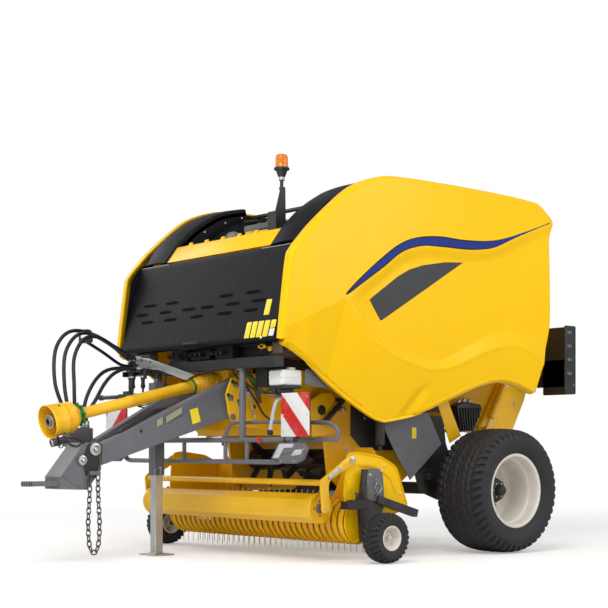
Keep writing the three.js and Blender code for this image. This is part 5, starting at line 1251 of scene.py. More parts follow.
# the coupler box below the plate with its round nozzle
boxes = join(block(-0.86, -0.58, -2.385, -2.335, 1.238, 1.302, 0.008),
    disc((-0.858, -2.36, 1.281), (-1, 0, 0), 0.017, 0.3, 0.004),
    disc((-1.128, -2.36, 1.281), (-1, 0, 0), 0.023, 0.045, 0.005),
    block(-0.582, -0.425, -2.372, -2.345, 1.24, 1.266, 0.004), block(-0.76, -0.735, -2.345, -2.3305, 1.295, 1.5, 0.003),
    block(-0.8, -0.7, -2.375, -2.345, 1.3, 1.325, 0.006))
rackShape = join(block(-0.258, -0.152, -3.26, -3.062, 0.871, 1.0095, 0.008),
    *(disc((x, y, 1.005), upward, 0.02, 0.0045, 0.001, 6) for x, y, _ in (route[-1] for route in hoseRoutes.values())))
makePiece("coupler_blocks", [(boxes, darkPlastic), (rackShape, satinBlack)], "chassis", (), 34)
print("hoses made")


# pick-up
pickup = {"half": 1.13, "outer": 1.145, "reel": (-1.49, 0.3), "bands": 32, "slot": 0.02, "bandRadius": 0.168}
reelY, reelZ = pickup["reel"]


def strip(line, profile):
    # a closed profile of (x, lift) pairs carried along a line in the YZ plane, lift measured on the line's left
    tangent = np.gradient(line, axis=0)
    tangent = unit(tangent)
    normal = np.stack([-tangent[:, 1], tangent[:, 0]], 1)
    profile = np.array(profile, float)
    points = np.zeros((len(line), len(profile), 3))
    points[..., 0] = profile[None, :, 0]
    points[..., 1:] = line[:, None] + normal[:, None] * profile[None, :, 1, None]
    return gridShape(points, roundColumns=True, capped=True)


bandArc = arcPoints(pickup["reel"], pickup["bandRadius"], 95, 265, 34)
bandLine = np.concatenate([resampled([(-1.2, 0.452), (-1.47, 0.468)], 8)[:-1], bandArc,
    resampled([(-1.43, 0.132), (-1.29, 0.196)], 6)[1:]])
pitch = 2 * pickup["half"] / pickup["bands"]
w = pitch / 2 - pickup["slot"] / 2
dome = [(-w, 0.009), (-w, 0.002), (0.004 - w, -0.003), (0, -0.0055), (w - 0.004, -0.003), (w, 0.002), (w, 0.009)]
dome += [(w - 0.003, 0.009), (w - 0.003, 0.002), (0, -0.0015), (0.003 - w, 0.002), (0.003 - w, 0.009)]
middles = [(i + 0.5) * pitch - pickup["half"] for i in range(pickup["bands"])]
bandShapes = [strip(bandLine, [(middle + x, -lift) for x, lift in dome]) for middle in middles]
sheets = bothSides(plate([(0.705, 0.457), (1.1285, 0.457), (1.1285, 0.7), (0.95, 0.8), (0.9, 0.862), (0.705, 0.862)],
    -1.152, -1.147, "y", 0.001), sheet([(-1.4, 0.457), (-1.152, 0.457), (-1.152, 0.74), (-1.28, 0.7)], 0.02, 0.705,
    0.709, "x", 0.001))
screws = bolts([(middle, -1.222, 0.425) for middle in middles], ahead, 0.006)
beam = join(block(-1.1295, 1.1295, -1.222, -1.195, 0.19, 0.456, 0.004),
    block(-1.1295, 1.1295, -1.196, -1.15, 0.446, 0.452, 0.002))
armOutlineIn = [(-1.205, 0.19), (-1.205, 0.46), (-1.235, 0.66), (-1.215, 0.685), (-1.145, 0.685), (-1.125, 0.66),
    (-1.118, 0.4), (-1.13, 0.2)]
lowArms = bothSides(sheet(armOutlineIn, 0.02, 0.6605, 0.6835, "x", 0.003),
    disc((0.6415, -1.18, 0.64), left, 0.03, 0.058, 0.004, 28))
armBolts = bothSides(bolt((0.6995, -1.18, 0.64), left, 0.018))
makePiece("pickup_strips", [(*bandShapes, steelYellow), (beam, steelYellow), (lowArms, sheets, steelYellow),
    (screws, zinc), (armBolts, zinc)], "pickup", "pickup_bands", 30)

sideOutline = [*arcPoints(pickup["reel"], 0.172, 250, 150, 14), (-1.67, 0.5), (-1.648, 0.775), (-1.622, 0.82),
    (-1.545, 0.831), (-1.29, 0.798), (-1.12, 0.718), (-0.992, 0.402), (-1.18, 0.33)]
sideSmooth = rounded(sideOutline, 0.035, 5)
lipInner = sideSmooth - outwardNormals(sideSmooth) * 0.01


def lipRing(outline, inner, low, high):
    # a raised edge: the space between an outline and its inset copy
    rows = [toSpace(o, np.full(len(o), d), "x") for o, d in ((outline, low), (outline, high - 0.002),
        (outline * 0.85 + inner * 0.15, high), (outline * 0.15 + inner * 0.85, high), (inner, high - 0.002),
        (inner, low))]
    return gridShape(np.array(rows), roundRows=True, roundColumns=True)


for side, flip in bothHands:
    cheek = plate(sideSmooth, 1.1303, 1.1375, "x", 0.002)
    lip = lipRing(sideSmooth, lipInner, 1.137, 1.1448)
    housing = join(disc((1.1375, reelY, reelZ), left, 0.056, 0.007, 0.003, 32),
        disc((1.137, -1.6, 0.77), left, 0.034, 0.0078, 0.003, 32))
    pin = join(disc((1.14, -1.6, 0.77), left, 0.018, 0.0295, 0.002, 24), bolt((1.1635, -1.6, 0.77), left, 0.015, 1.75))
    face = join(bolts([around((1.1445, reelY, reelZ), 0.044, t) for t in np.radians([45, 135, 225, 315])], left,
        0.0055), bolts([(1.1375, y, z) for y, z in ((-1.25, 0.72), (-1.08, 0.5), (-1.2, 0.4), (-1.55, 0.52))], left,
        0.008))
    # a pressed rib and a bent stop for the wind guard's arm
    rib = sheet([(-1.52, 0.755), (-1.3, 0.735), (-1.16, 0.655), (-1.1, 0.52), (-1.13, 0.5), (-1.19, 0.62), (-1.32, 0.7),
        (-1.52, 0.72)], 0.02, 1.137, 1.1425, "x", 0.003)
    stop = sheet([(-1.64, 0.6), (-1.6, 0.6), (-1.585, 0.54), (-1.635, 0.52)], 0.01, 1.137, 1.1445, "x", 0.002)
    makePiece("pickup_cheek_" + side, [(cheek, lip, rib, stop, housing, panelYellow), (pin, zinc), (face, zinc)],
        "pickup", "pickup_side_" + side, 30, flip=flip)


def reelPoint(x, radius, degrees):
    return around((x, reelY, reelZ), radius, math.radians(degrees))


tineSteel = bareMetal("tineSteel", (224, 202, 140), 0.35, stain=0.1)
reelShaft = rod((-1.1448, reelY, reelZ), (1.1448, reelY, reelZ), 0.0298, 0.003, 28)
reelDiscs = join(*(disc((x - 0.005, reelY, reelZ), left, 0.134, 0.01, 0.002, 48, 0.028)
    for x in (-1.118, -0.56, 0.0, 0.56, 1.118)))
reelBars = join(*(rod(reelPoint(-1.122, 0.118, d), reelPoint(1.122, 0.118, d), 0.0155, 0.002, 14)
    for d in (45, 135, 225, 315)))
tineShapes, coils = [], []
# each bar's tines as a cam holds them: where the tip stands, in degrees, for each bar
tineTips = {45: 58, 135: 147, 225: 251, 315: 291}
for i in range(1, pickup["bands"]):
    x = -pickup["half"] + i * pitch
    for d, tip in tineTips.items():
        root, end = np.array(reelPoint(x, 0.12, d)), np.array(reelPoint(x, 0.2612, tip))
        tineShapes.append(tube([root, root * 0.5 + end * 0.5, end], 0.0034, 6))
        coils.append(tube(curve([reelPoint(x - 0.01, 0.132, d - 5), reelPoint(x - 0.003, 0.098, d),
            reelPoint(x + 0.003, 0.138, d), reelPoint(x, 0.122, d + 4)], 9), 0.0034, 5))
makePiece("pickup_reel_bars", [(reelShaft, reelDiscs, castBlack), (reelBars, plainSteel),
    (*tineShapes, *coils, tineSteel)], "pickup_reel", "pickup_reel", 40)

# wind guard and its roller
guard = {"pipe": (-1.88, 0.6), "roller": (-1.862, 0.408)}
rollerAt = (0, *guard["roller"])
guardOutline = [(-1.566, 0.76), (-1.578, 0.804), (-1.63, 0.8), (-1.85, 0.66), (-1.92, 0.62), (-1.902, 0.428),
    (-1.896, 0.374), (-1.828, 0.374), (-1.826, 0.438), (-1.836, 0.58), (-1.82, 0.62), (-1.61, 0.726)]
guardArm = plate(rounded(guardOutline, 0.028, 5), 1.1453, 1.161, "x", 0.003)
holeRim = join(disc((1.1595, *guard["pipe"]), left, 0.033, 0.004, 0.001, 28, 0.0165),
    disc((1.1595, *rollerAt[1:]), left, 0.026, 0.003, 0.001, 28, 0.015))
strap = plate(rounded([(-1.735, 0.716), (-1.715, 0.7), (-1.815, 0.628), (-1.838, 0.64), (-1.84, 0.652)], 0.012, 5),
    1.1612, 1.1672, "x", 0.002)
strapEnds = join(*(join(disc((1.1606, y, z), left, 0.017, 0.011, 0.003, 24), bolt((1.1715, y, z), left, 0.008)) for y,
    z in ((-1.727, 0.706), (-1.826, 0.64))))
guardTube = tube([(x, *guard["pipe"]) for x in np.linspace(-1.145, 1.145, 30)], 0.0235, 24)
gussets = bothSides(plate(oblong(-1.9, -1.86, 0.59, 0.612), 1.09, 1.145, "x", 0.003))
makePiece("wind_guard_frame", [(bothSides(guardArm, holeRim), steelYellow), (guardTube, gussets, steelYellow),
    (bothSides(strap, strapEnds), zinc)], "wind_guard", "wind_guard", 30)

rollerShell = turned([(0.1, -1.086), (0.109, -1.1), (0.1155, -1.094), (0.116, -1.02), (0.116, 0.0), (0.116, 1.02),
    (0.1155, 1.094), (0.109, 1.1), (0.1, 1.086), (0.104, 1.0), (0.104, -1.0)], rollerAt, left, 10, closed=True)
rollerRound = join(*(turned([(0.103, s * 1.072), (0.1135, s * 1.0985), (0.1165, s * 1.094), (0.1165, s * 1.06),
    (0.1135, s * 1.056), (0.103, s * 1.056)], rollerAt, left, 60, closed=True) for s in (1, -1)))
rollerEnds = join(*(disc((s * 1.08, *rollerAt[1:]), (s, 0, 0), 0.105, 0.008, 0.002, 48, 0.036) for s in (1, -1)))
rollerHubs = join(*(turned([(0, 0), (0.03, 0), (0.034, -0.004), (0.0375, -0.016), (0.0375, -0.03), (0, -0.03)],
    (s * 1.1045, *rollerAt[1:]), (s, 0, 0), 32) for s in (1, -1)),
    *(bolt(around((s * 1.0885, *rollerAt[1:]), 0.055, t), (s, 0, 0), 0.007) for s in (1, -1)
    for t in np.radians([0, 90, 180, 270])))
rollerRod = rod((-1.1612, *rollerAt[1:]), (1.1612, *rollerAt[1:]), 0.0138, 0.002, 20)
makePiece("guard_roller_shell", [(rollerShell, rollerRound, rollerEnds, steelYellow), (rollerHubs, lampGrey),
    (rollerRod, zinc)], "guard_roller", "guard_roller", 20)

# gauge wheel brackets
for side, flip in bothHands:
    softened("gauge_bracket_" + side, satinBlack, 0.004)
    cover = plate(rounded([(-1.5, 0.665), (-1.475, 0.705), (-1.365, 0.7), (-1.335, 0.665), (-1.318, 0.47),
        (-1.345, 0.44), (-1.5, 0.47)], 0.02, 4), 1.2092, 1.2152, "x", 0.003)
    shelf = join(block(1.2085, 1.268, -1.7, -1.535, 0.4605, 0.47, 0.002),
        block(1.185, 1.235, -1.555, -1.515, 0.46, 0.575, 0.006), rod((1.235, -1.62, 0.47), (1.235, -1.62, 0.52), 0.011))
    holes = join(*(disc((1.215, -1.42, z), left, 0.01, 0.0015, 0.0003, 18) for z in (0.5, 0.545, 0.59, 0.635)))
    lanyard = tube(curve([(1.2165, -1.47, 0.655), (1.2215, -1.44, 0.64), (1.226, -1.385, 0.6), (1.225, -1.36, 0.555),
        (1.223, -1.385, 0.52), (1.2215, -1.42, 0.545), (1.22, -1.42, 0.59)], 50), 0.0022, 6)
    knob = join(bolt((1.215, -1.47, 0.655), left, 0.009), disc((1.215, -1.42, 0.59), left, 0.008, 0.022, 0.002),
        bolt((1.215, -1.355, 0.685), left, 0.008), bolt((1.215, -1.345, 0.47), left, 0.008))
    axle = join(disc((1.2095, -1.5, 0.19), left, 0.03, 0.02, 0.004, 28), bolt((1.2295, -1.5, 0.19), left, 0.016))
    makePiece("gauge_cover_" + side, [(cover, lampGrey), (shelf, satinBlack), (holes, darkPlastic),
        (lanyard, knob, zinc), (axle, satinBlack)], "pickup", (), 30, flip=flip)
print("pick-up made")


# front rails, marker boards and lamps
rail = {"y": -2.18, "high": 0.92, "low": 0.755, "radius": 0.0185}


def bentTube(corners, radius, sides=16, bend=0.05):
    # straight runs joined by curves that leave each corner at most one bend radius away
    p = np.array(corners, float)
    path = [p[0]]
    for a, b, c in zip(p[:-2], p[1:-1], p[2:]):
        back, ahead = (a - b), (c - b)
        lb, la = np.linalg.norm(back), np.linalg.norm(ahead)
        r = min(bend, lb * 0.45, la * 0.45)
        s, e = b + back / lb * r, b + ahead / la * r
        for t in np.linspace(0, 1, 7):
            path.append((1 - t) ** 2 * s + 2 * t * (1 - t) * b + t**2 * e)
    path.append(p[-1])
    return tube(np.array(path), radius, sides)


highRail = rod((-1.18, rail["y"], rail["high"]), (1.18, rail["y"], rail["high"]), rail["radius"] + 0.001, 0.003, 20)
lowRail = bentTube([(-1.172, rail["y"], 0.919), (-1.04, rail["y"], rail["low"]), (1.04, rail["y"], rail["low"]),
    (1.172, rail["y"], 0.919)], rail["radius"], 18, 0.07)
posts = join(*(rod((x, rail["y"], 0.757), (x, rail["y"], 0.918), 0.0165) for x in (-0.614, -0.2, 0.346, 0.614)))
hangers = bothSides(rod((0.56, rail["y"], 0.915), (0.56, rail["y"], 1.459), 0.0255, 0.003, 20),
    block(0.525, 0.595, -2.212, -2.15, 1.4515, 1.4595, 0.002), bolt((0.583, -2.205, 1.4515), (0, 0, -1), 0.008))
backRail = bothSides(bentTube([(0.315, -2.172, 0.925), (0.335, -2.13, 1.045), (0.365, -2.105, 1.052),
    (0.98, -2.105, 1.052), (1.02, -2.11, 1.04), (1.03, -2.172, 0.925)], 0.014, 14, 0.06))
railCaps = join(*(disc((s * 1.18, rail["y"], 0.92), (s, 0, 0), 0.02, 0.006, 0.002, 20) for s in (1, -1)))
railStraps = bothSides(disc((1.075, rail["y"], 0.92), left, 0.0235, 0.02, 0.002, 20, 0.0196),
    disc((1.3, -2.17, 0.95), behind, 0.008, 0.004, 0.001))
makePiece("front_rails_tubes", [(highRail, lowRail, posts, hangers, backRail, frameGrey),
    (railCaps, railStraps, satinBlack)], "chassis", "front_rails", 34)
reflector = join(disc((0.795, -2.2005, 0.92), ahead, 0.026, 0.006, 0.002, 32),
    turned([(0, 0.0095), (0.014, 0.009), (0.0225, 0.0068), (0.0225, 0.005), (0, 0.005)], (0.795, -2.201, 0.92), ahead,
    32))


def boardFinish():
    # red and white reflecting stripes at 45 degrees that lean the same way on both boards, with a faint honeycomb
    f = Finish("boardStripes", (226, 226, 224), 0.25, coat=0.3)
    lean = f.z - 1.2603 + (abs(f.x) - 1.03)
    red = ((lean > -0.145) * (lean < 0.004)).math("MAXIMUM", lean > 0.182)
    cells = (f.x * 520.0).math("SINE") * (f.z * 520.0).math("SINE")
    dirt = f.noise(9.0, 5.0).between(0.5, 0.8) * 0.25
    tint = f.mix(red, (228, 228, 226), (205, 16, 22))
    tint = f.mix(dirt, tint, (150, 140, 126))
    return f.feed(Base_Color=tint, Roughness=0.25 + dirt, Normal=f.bump(cells, 0.0003))


boardStripes = boardFinish()
board = sheet(oblong(1.0305, 1.3495, 0.9408, 1.26), 0.012, -2.1885, -2.1845, "y", 0.001)
boardFrame = join(sheet(oblong(1.03, 1.35, 0.9405, 1.2603), 0.012, -2.184, -2.1765, "y", 0.002),
    block(1.06, 1.1, -2.1768, -2.166, 0.9405, 1.22, 0.002))
boardScrews = bolts([(x, -2.1885, z) for x in (1.055, 1.325) for z in (0.975, 1.1, 1.23)], ahead, 0.0055)
lampOutline = [(0.962, 0.7765), (1.06, 0.8985), (1.33, 0.8985), (1.369, 0.85), (1.32, 0.771), (1.24, 0.746),
    (1.075, 0.746), (1.045, 0.776)]
lampBody = plate(rounded(lampOutline, 0.016), -2.236, -2.201, "y", 0.008, 4)
lensMain = plate(rounded([(0.992, 0.785), (1.075, 0.889), (1.235, 0.889), (1.222, 0.862), (1.12, 0.858),
    (1.062, 0.786)], 0.008), -2.2395, -2.23, "y", 0.003, 3)
lensSmall = plate(rounded([(1.196, 0.8), (1.25, 0.846), (1.335, 0.85), (1.312, 0.812)], 0.008), -2.2395, -2.23, "y",
    0.003, 3)
lensRibs = join(*(block(x, x + 0.003, -2.24, -2.238, 0.868, 0.884, 0.0005) for x in np.arange(1.09, 1.22, 0.014)))
lampScrews = bolts([(x, -2.236, z) for x, z in ((1.085, 0.765), (1.235, 0.765), (1.345, 0.852))], ahead, 0.005)
glassGrey = moulded("glassGrey", (190, 193, 198), 0.16, coat=0.6, grain=0.0001)
for side, flip in bothHands:
    makePiece("marker_board_" + side + "_sheet", [(board, boardStripes), (boardFrame, satinBlack), (boardScrews, zinc)],
        "chassis", "marker_board_" + side, 34, flip=flip)
    makePiece("marker_lamp_" + side + "_body", [(lampBody, lampGrey), (lensMain, lensSmall, lensRibs, glassGrey),
        (lampScrews, zinc)], "chassis", "marker_lamp_" + side, 34, flip=flip)
makePiece("rail_reflectors", [(bothSides(reflector), redPlastic)], "chassis", ())

# frame, gearbox, tank and the fittings between them
softPieces = {
    "main_frame": (satinBlack, 0.004, "frame_paint"),
    "chamber": (steelYellow, 0.004, "steel_yellow"),
    "gearbox": (steelYellow, 0.008, "steel_yellow"),
    "axle_beam": (satinBlack, 0.006, "black_paint"),
    "side_shield_left": (frameGrey, 0.002, "frame_paint"),
    "side_shield_right": (frameGrey, 0.002, "frame_paint"),
    "feed_rotor": (satinBlack, 0.002, "black_paint"),
    "jack_tube": (frameGrey, 0.004, "frame_paint"),
    "jack_leg": (zinc, 0.003, "bare_steel"),
    "beacon_mast": (satinBlack, 0.003, "black_paint"),
    "front_belts": (hoseRubber, 0.0, "belt_rubber"),
    "tailgate_belts": (hoseRubber, 0.0, "belt_rubber"),
}
for node, (finish, width, slot) in softPieces.items():
    softened(node, finish, width)
roofRails = join(bothSides(block(0.96, 1.02, -1.18, 0.47, 2.868, 2.93, 0.006)),
    block(-0.961, 0.961, -1.12, -1.06, 2.868, 2.888, 0.004), block(-0.961, 0.961, -0.42, -0.36, 2.868, 2.93, 0.006))
roofPosts = bothSides(*(block(0.6115, 0.6285, y, y + 0.06, 2.8505, 2.869, 0.003) for y in (-1.12, -0.42)))
hingeZ = 2.962
roofHinges = bothSides(*(join(plate([(0.99, 2.929), (1.016, hingeZ + 0.01), (1.032, hingeZ + 0.012),
    (1.042, hingeZ - 0.008), (1.019, 2.91)], y, y + 0.012, "y", 0.002),
    rod((1.03, y + 0.006, hingeZ), (1.03, y + 0.036, hingeZ), 0.007)) for y in (-1.0, -0.25, 0.38)))
makePiece("roof_frame_rails", [(roofRails, roofPosts, roofHinges, satinBlack)], "chassis", "roof_frame")

# bracket plates: bolts on flanges, the brake lever, its pin on a short chain
# the wide black sheet across the chamber's front is painted shade under the hood, a dark sheet laid where the yellow
# chamber would show; the black blocks and rods in front of it are valves and pipes
shadeSheetAndValves = join(block(-0.604, 0.604, -1.968, -1.958, 1.545, 1.8, 0.002),
    block(-0.99, -0.66, -2.13, -2.12, 1.542, 1.7, 0.002), block(-0.52, -0.3, -2.09, -1.98, 1.56, 1.64, 0.006),
    block(-0.22, 0.02, -2.1, -2.0, 1.565, 1.63, 0.006), block(0.08, 0.3, -2.08, -1.97, 1.56, 1.66, 0.006),
    *(rod((x, -2.12, 1.6), (x, -2.16, 1.6), 0.016) for x in (-0.46, -0.4, -0.34, -0.16, -0.09, -0.03, 0.13, 0.19,
    0.25)), rod((-0.62, -2.03, 1.555), (0.62, -2.03, 1.555), 0.014),
    rod((-0.62, -1.99, 1.66), (0.62, -1.99, 1.66), 0.018))
underPlates = join(disc((0.787, -2.178, 1.617), behind, 0.02, 0.008, 0.002, 24),
    sheet(oblong(0.745, 0.83, 1.606, 1.628), 0.01, -2.178, -2.17, "y", 0.002),
    plate(oblong(0.84, 0.878, 1.58, 1.612), -2.158, -2.15, "y", 0.002),
    block(0.78, 0.79, -2.172, -1.96, 1.605, 1.625, 0.002))
brownPlate = join(sheet(oblong(0.884, 1.0, 1.56, 1.645), 0.006, -2.15, -2.144, "y", 0.002),
    block(0.845, 0.892, -2.152, -2.146, 1.585, 1.6, 0.001), block(0.9, 0.91, -2.146, -1.96, 1.59, 1.63, 0.002),
    block(0.604, 0.99, -1.962, -1.95, 1.545, 1.64, 0.002))
hoseBrace = plate([(-0.7, 1.606), (-0.47, 1.582), (0.16, 1.425), (0.05, 1.388), (-0.34, 1.486), (-0.6, 1.505)], -2.346,
    -2.3305, "y", 0.003)
hoseBraceHoles = join(*(disc((x, -2.3455, z), ahead, 0.01, 0.0012, 0.0003, 18) for x,
    z in ((-0.56, 1.572), (-0.62, 1.535), (-0.44, 1.55))))
makePiece("under_hood_fittings_and_shade_sheet", [(shadeSheetAndValves, satinBlack), (underPlates, steelYellow), (brownPlate, leverBrown),
    (hoseBrace, zinc), (hoseBraceHoles, darkPlastic)], "chassis", ())
bracket = {"x": 0.3483}
plateBolts = bolts([(bracket["x"], y, z) for y, z in ((-2.085, 1.35), (-2.132, 1.246), (-2.04, 1.2), (-2.11, 1.1))],
    left, 0.017, 1.5)
plateHoles = join(*(disc((bracket["x"] - 0.001, y, z), left, 0.017, 0.0022, 0.0005, 20) for y,
    z in ((-2.112, 1.372), (-2.155, 1.266), (-2.052, 1.222), (-1.99, 1.36), (-1.9, 1.18))))
lever = sheet([(-2.006, 1.458), (-1.95, 1.458), (-1.864, 1.35), (-1.83, 1.22), (-1.846, 1.205), (-1.868, 1.215),
    (-1.92, 1.345)], 0.012, 0.352, 0.362, "x", 0.003)
leverPin = join(disc((0.35, -1.975, 1.29), left, 0.026, 0.026, 0.004, 24), bolt((0.376, -1.975, 1.29), left, 0.015))
leverChain = chainLinks({"x": 0.381, "wire": 0.006, "long": 0.015, "wide": 0.009, "pitch": 0.022},
    curve([(-1.972, 1.268), (-1.96, 1.22), (-1.938, 1.16), (-1.92, 1.125)], 120))
leverKnob = disc((0.378, -1.916, 1.085), (0, 0.1, 1), 0.011, 0.035, 0.004)
greenHose = tube(curve([(0.3, -2.02, 1.442), (0.405, -1.96, 1.395), (0.43, -1.905, 1.325), (0.445, -1.873, 1.296),
    (0.52, -1.85, 1.318), (0.66, -1.85, 1.322), (0.78, -1.87, 1.33)], 70), 0.011, 12)
blackHoses = join(*(tube(curve(route, 70), 0.008, 10) for route in ([(0.36, -2.118, 1.4595), (0.365, -2.1, 1.42),
    (0.385, -2.0, 1.33), (0.4, -1.92, 1.22), (0.42, -1.86, 1.12), (0.5, -1.82, 1.06)],
    [(-0.3, -2.2, 1.4595), (-0.28, -2.226, 1.436), (-0.18, -2.234, 1.448), (0.0, -2.236, 1.449), (0.1, -2.232, 1.445),
    (0.22, -2.2, 1.4595)], [(-0.44, -2.19, 1.4595), (-0.43, -2.205, 1.36), (-0.44, -2.2, 1.2), (-0.4, -2.16, 1.06),
    (-0.33, -2.05, 1.0)], [(0.52, -2.15, 1.4595), (0.53, -2.14, 1.37), (0.6, -2.06, 1.29), (0.72, -2.0, 1.275),
    (0.82, -1.98, 1.2985)])))
makePiece("bracket_fittings", [(plateBolts, plainSteel), (plateHoles, darkPlastic), (lever, leverBrown),
    (leverPin, zinc), (leverChain, leverKnob, zinc), (greenHose, greenPlastic), (blackHoses, hoseRubber)], "chassis",
    (), 34)

# the yellow box behind the board with its round hole, the control box and the oil tank with its pump
sideBox = sheet([(-1.735, 1.255), (-1.3, 1.255), (-1.22, 1.19), (-1.22, 1.05), (-1.3, 0.985), (-1.735, 0.985)], 0.03,
    0.6405, 0.665, "x", 0.006)
sideHole = join(disc((0.712, -1.518, 1.155), left, 0.03, 0.0015, 0.0004, 32),
    disc((0.712, -1.518, 1.155), left, 0.04, 0.005, 0.001, 32, 0.03))
holePlate = join(sheet([(-1.62, 1.23), (-1.515, 1.292), (-1.403, 1.288), (-1.371, 1.228), (-1.419, 1.178),
    (-1.435, 1.13), (-1.467, 1.078), (-1.62, 1.075)], 0.018, 0.7, 0.712, "x", 0.003),
    block(0.6405, 0.701, -1.6, -1.48, 1.12, 1.2, 0.004), sheet([(-1.6, 1.05), (-1.385, 1.05), (-1.35, 0.965),
    (-1.6, 0.945)], 0.012, 0.69, 0.7, "x", 0.003), block(0.6405, 0.691, -1.55, -1.44, 0.98, 1.03, 0.004))
wallDark = plate([(-1.15, 1.34), (-0.6, 1.34), (-0.6, 0.84), (-1.02, 0.84), (-1.15, 0.96)], 0.6405, 0.646, "x", 0.002)
strut = join(rod((0.74, -1.495, 1.072), (0.74, -1.315, 1.238), 0.022, 0.003, 20),
    rod((0.74, -1.515, 1.054), (0.74, -1.49, 1.077), 0.013), block(0.645, 0.745, -1.335, -1.3, 1.225, 1.255, 0.005),
    block(0.7, 0.745, -1.53, -1.5, 1.04, 1.07, 0.004))
strutPin = join(disc((0.74, -1.348, 1.161), left, 0.02, 0.055, 0.003, 20),
    disc((0.645, -1.348, 1.161), left, 0.012, 0.1, 0.003, 16))
railLoop = bothSides(bentTube([(1.025, -2.109, 1.046), (1.379, -2.01, 1.043), (1.453, -2.0, 0.988),
    (1.453, -2.0, 0.922), (1.175, -2.06, 0.916), (1.15, -2.165, 0.918)], 0.015, 14, 0.07))
controlBox = join(block(0.56, 0.705, -2.06, -1.945, 1.322, 1.4595, 0.01),
    block(0.585, 0.68, -2.064, -2.059, 1.34, 1.44, 0.004))
tankTop = join(plate(rounded(oblong(0.812, 0.988, -2.138, -1.942), 0.03, 5), 1.325, 1.44, "z", 0.016, 5),
    disc((0.93, -2.01, 1.439), upward, 0.034, 0.0205, 0.004, 28))
tankSeam = plate(rounded(oblong(0.809, 0.991, -2.141, -1.939), 0.03, 5), 1.38, 1.386, "z", 0.002)
pump = join(block(0.845, 0.945, -2.1, -1.99, 1.255, 1.318, 0.008),
    disc((0.87, -2.1, 1.285), ahead, 0.028, 0.035, 0.004), disc((0.93, -2.1, 1.285), ahead, 0.018, 0.03, 0.003),
    block(0.815, 0.985, -2.125, -1.955, 1.3005, 1.3255, 0.004))
pumpBolts = bolts([(x, -2.1, z) for x, z in ((0.852, 1.262), (0.938, 1.262), (0.905, 1.31))], ahead, 0.006)
slantedPlate = sheet([(-1.93, 1.45), (-1.6, 1.45), (-1.42, 1.3), (-1.45, 1.262), (-1.72, 1.31), (-1.93, 1.33)], 0.02,
    0.995, 1.003, "x", 0.002)
handRail = bentTube([(0.88, -2.02, 1.235), (0.865, -2.085, 1.225), (0.855, -2.11, 1.16), (0.835, -2.13, 0.995)], 0.015,
    14, 0.05)
handKnob = join(disc((0.832, -2.133, 0.955), (0.08, 0.05, 1), 0.024, 0.04, 0.01),
    disc((0.88, -2.01, 1.225), upward, 0.026, 0.03, 0.004))
ledgeRail = block(0.7, 1.0, -2.04, -2.0, 1.2405, 1.256, 0.003)
makePiece("tank_and_pump", [(tankTop, tankSeam, tankWhite), (pump, controlBox, satinBlack), (pumpBolts, zinc)],
    "chassis", "oil_tank", 40)
makePiece("side_fittings", [(bothSides(sideBox, holePlate), steelYellow), (bothSides(sideHole), darkPlastic),
    (bothSides(wallDark, strut), satinBlack), (bothSides(strutPin), zinc),
    (slantedPlate, ledgeRail, railLoop, frameGrey), (handRail, silverPlastic), (handKnob, darkPlastic)], "chassis", (),
    34)

# gearbox and shields by the wheels
gearRibs = join(*(block(-0.152, 0.152, -1.99 + 0.05 * k, -1.978 + 0.05 * k, 1.1785, 1.5015, 0.003) for k in range(5)),
    *(bolt((0.072 * math.cos(t), -2.0675, 1.372 + 0.072 * math.sin(t)), ahead, 0.009)
    for t in np.radians(range(0, 360, 45))), *(bolt((x, -2.0083, z), ahead, 0.01) for x in (-0.125, 0.125)
    for z in (1.205, 1.34, 1.475)))
makePiece("gearbox_ribs", [(gearRibs, steelYellow)], "chassis", ())
liftRams = bothSides(rod((1.0, -1.16, 1.13), (1.0, -1.16, 0.88), 0.037, 0.003, 28),
    rod((1.0, -1.16, 0.885), (1.0, -1.165, 0.835), 0.018), disc((0.98, -1.16, 1.14), left, 0.03, 0.04, 0.003),
    block(0.888, 0.985, -1.18, -1.135, 1.125, 1.155, 0.003))
axleBracket = bothSides(sheet([(-0.6, 0.64), (-0.45, 0.705), (-0.33, 0.645), (-0.2, 0.545), (-0.055, 0.545),
    (-0.055, 0.47), (-0.33, 0.425), (-0.545, 0.5)], 0.02, 0.812, 0.824, "x", 0.003),
    *(bolt((0.824, y, z), left, 0.013) for y, z in ((-0.5, 0.62), (-0.41, 0.645), (-0.1, 0.508))),
    block(0.8235, 0.888, -0.5, -0.44, 0.6, 0.65, 0.004))
shieldSigns = sheet(oblong(-0.702, -0.652, 0.935, 1.025), 0.004, 0.8882, 0.8892, "x", 0.0003)
jackPin = join(rod((-0.43, -2.33, 0.7), (-0.312, -2.33, 0.7), 0.01),
    tube(curve([(-0.312, -2.33, 0.7), (-0.3, -2.335, 0.69), (-0.3, -2.35, 0.64), (-0.306, -2.378, 0.63),
    (-0.312, -2.388, 0.66), (-0.31, -2.38, 0.7)], 40), 0.003, 8))
jackHandle = join(rod((-0.372, -2.33, 1.415), (-0.372, -2.33, 1.445), 0.018),
    tube(curve([(-0.372, -2.33, 1.44), (-0.372, -2.37, 1.442), (-0.372, -2.44, 1.445)], 14), 0.008, 10),
    disc((-0.372, -2.44, 1.41), upward, 0.014, 0.07, 0.005))
makePiece("jack_fittings", [(jackPin, zinc), (jackHandle, satinBlack)], "chassis", (), 34)
makePiece("shield_fittings", [(liftRams, axleBracket, satinBlack), (shieldSigns, plateYellow)], "chassis", (),
    34)
print("front made")


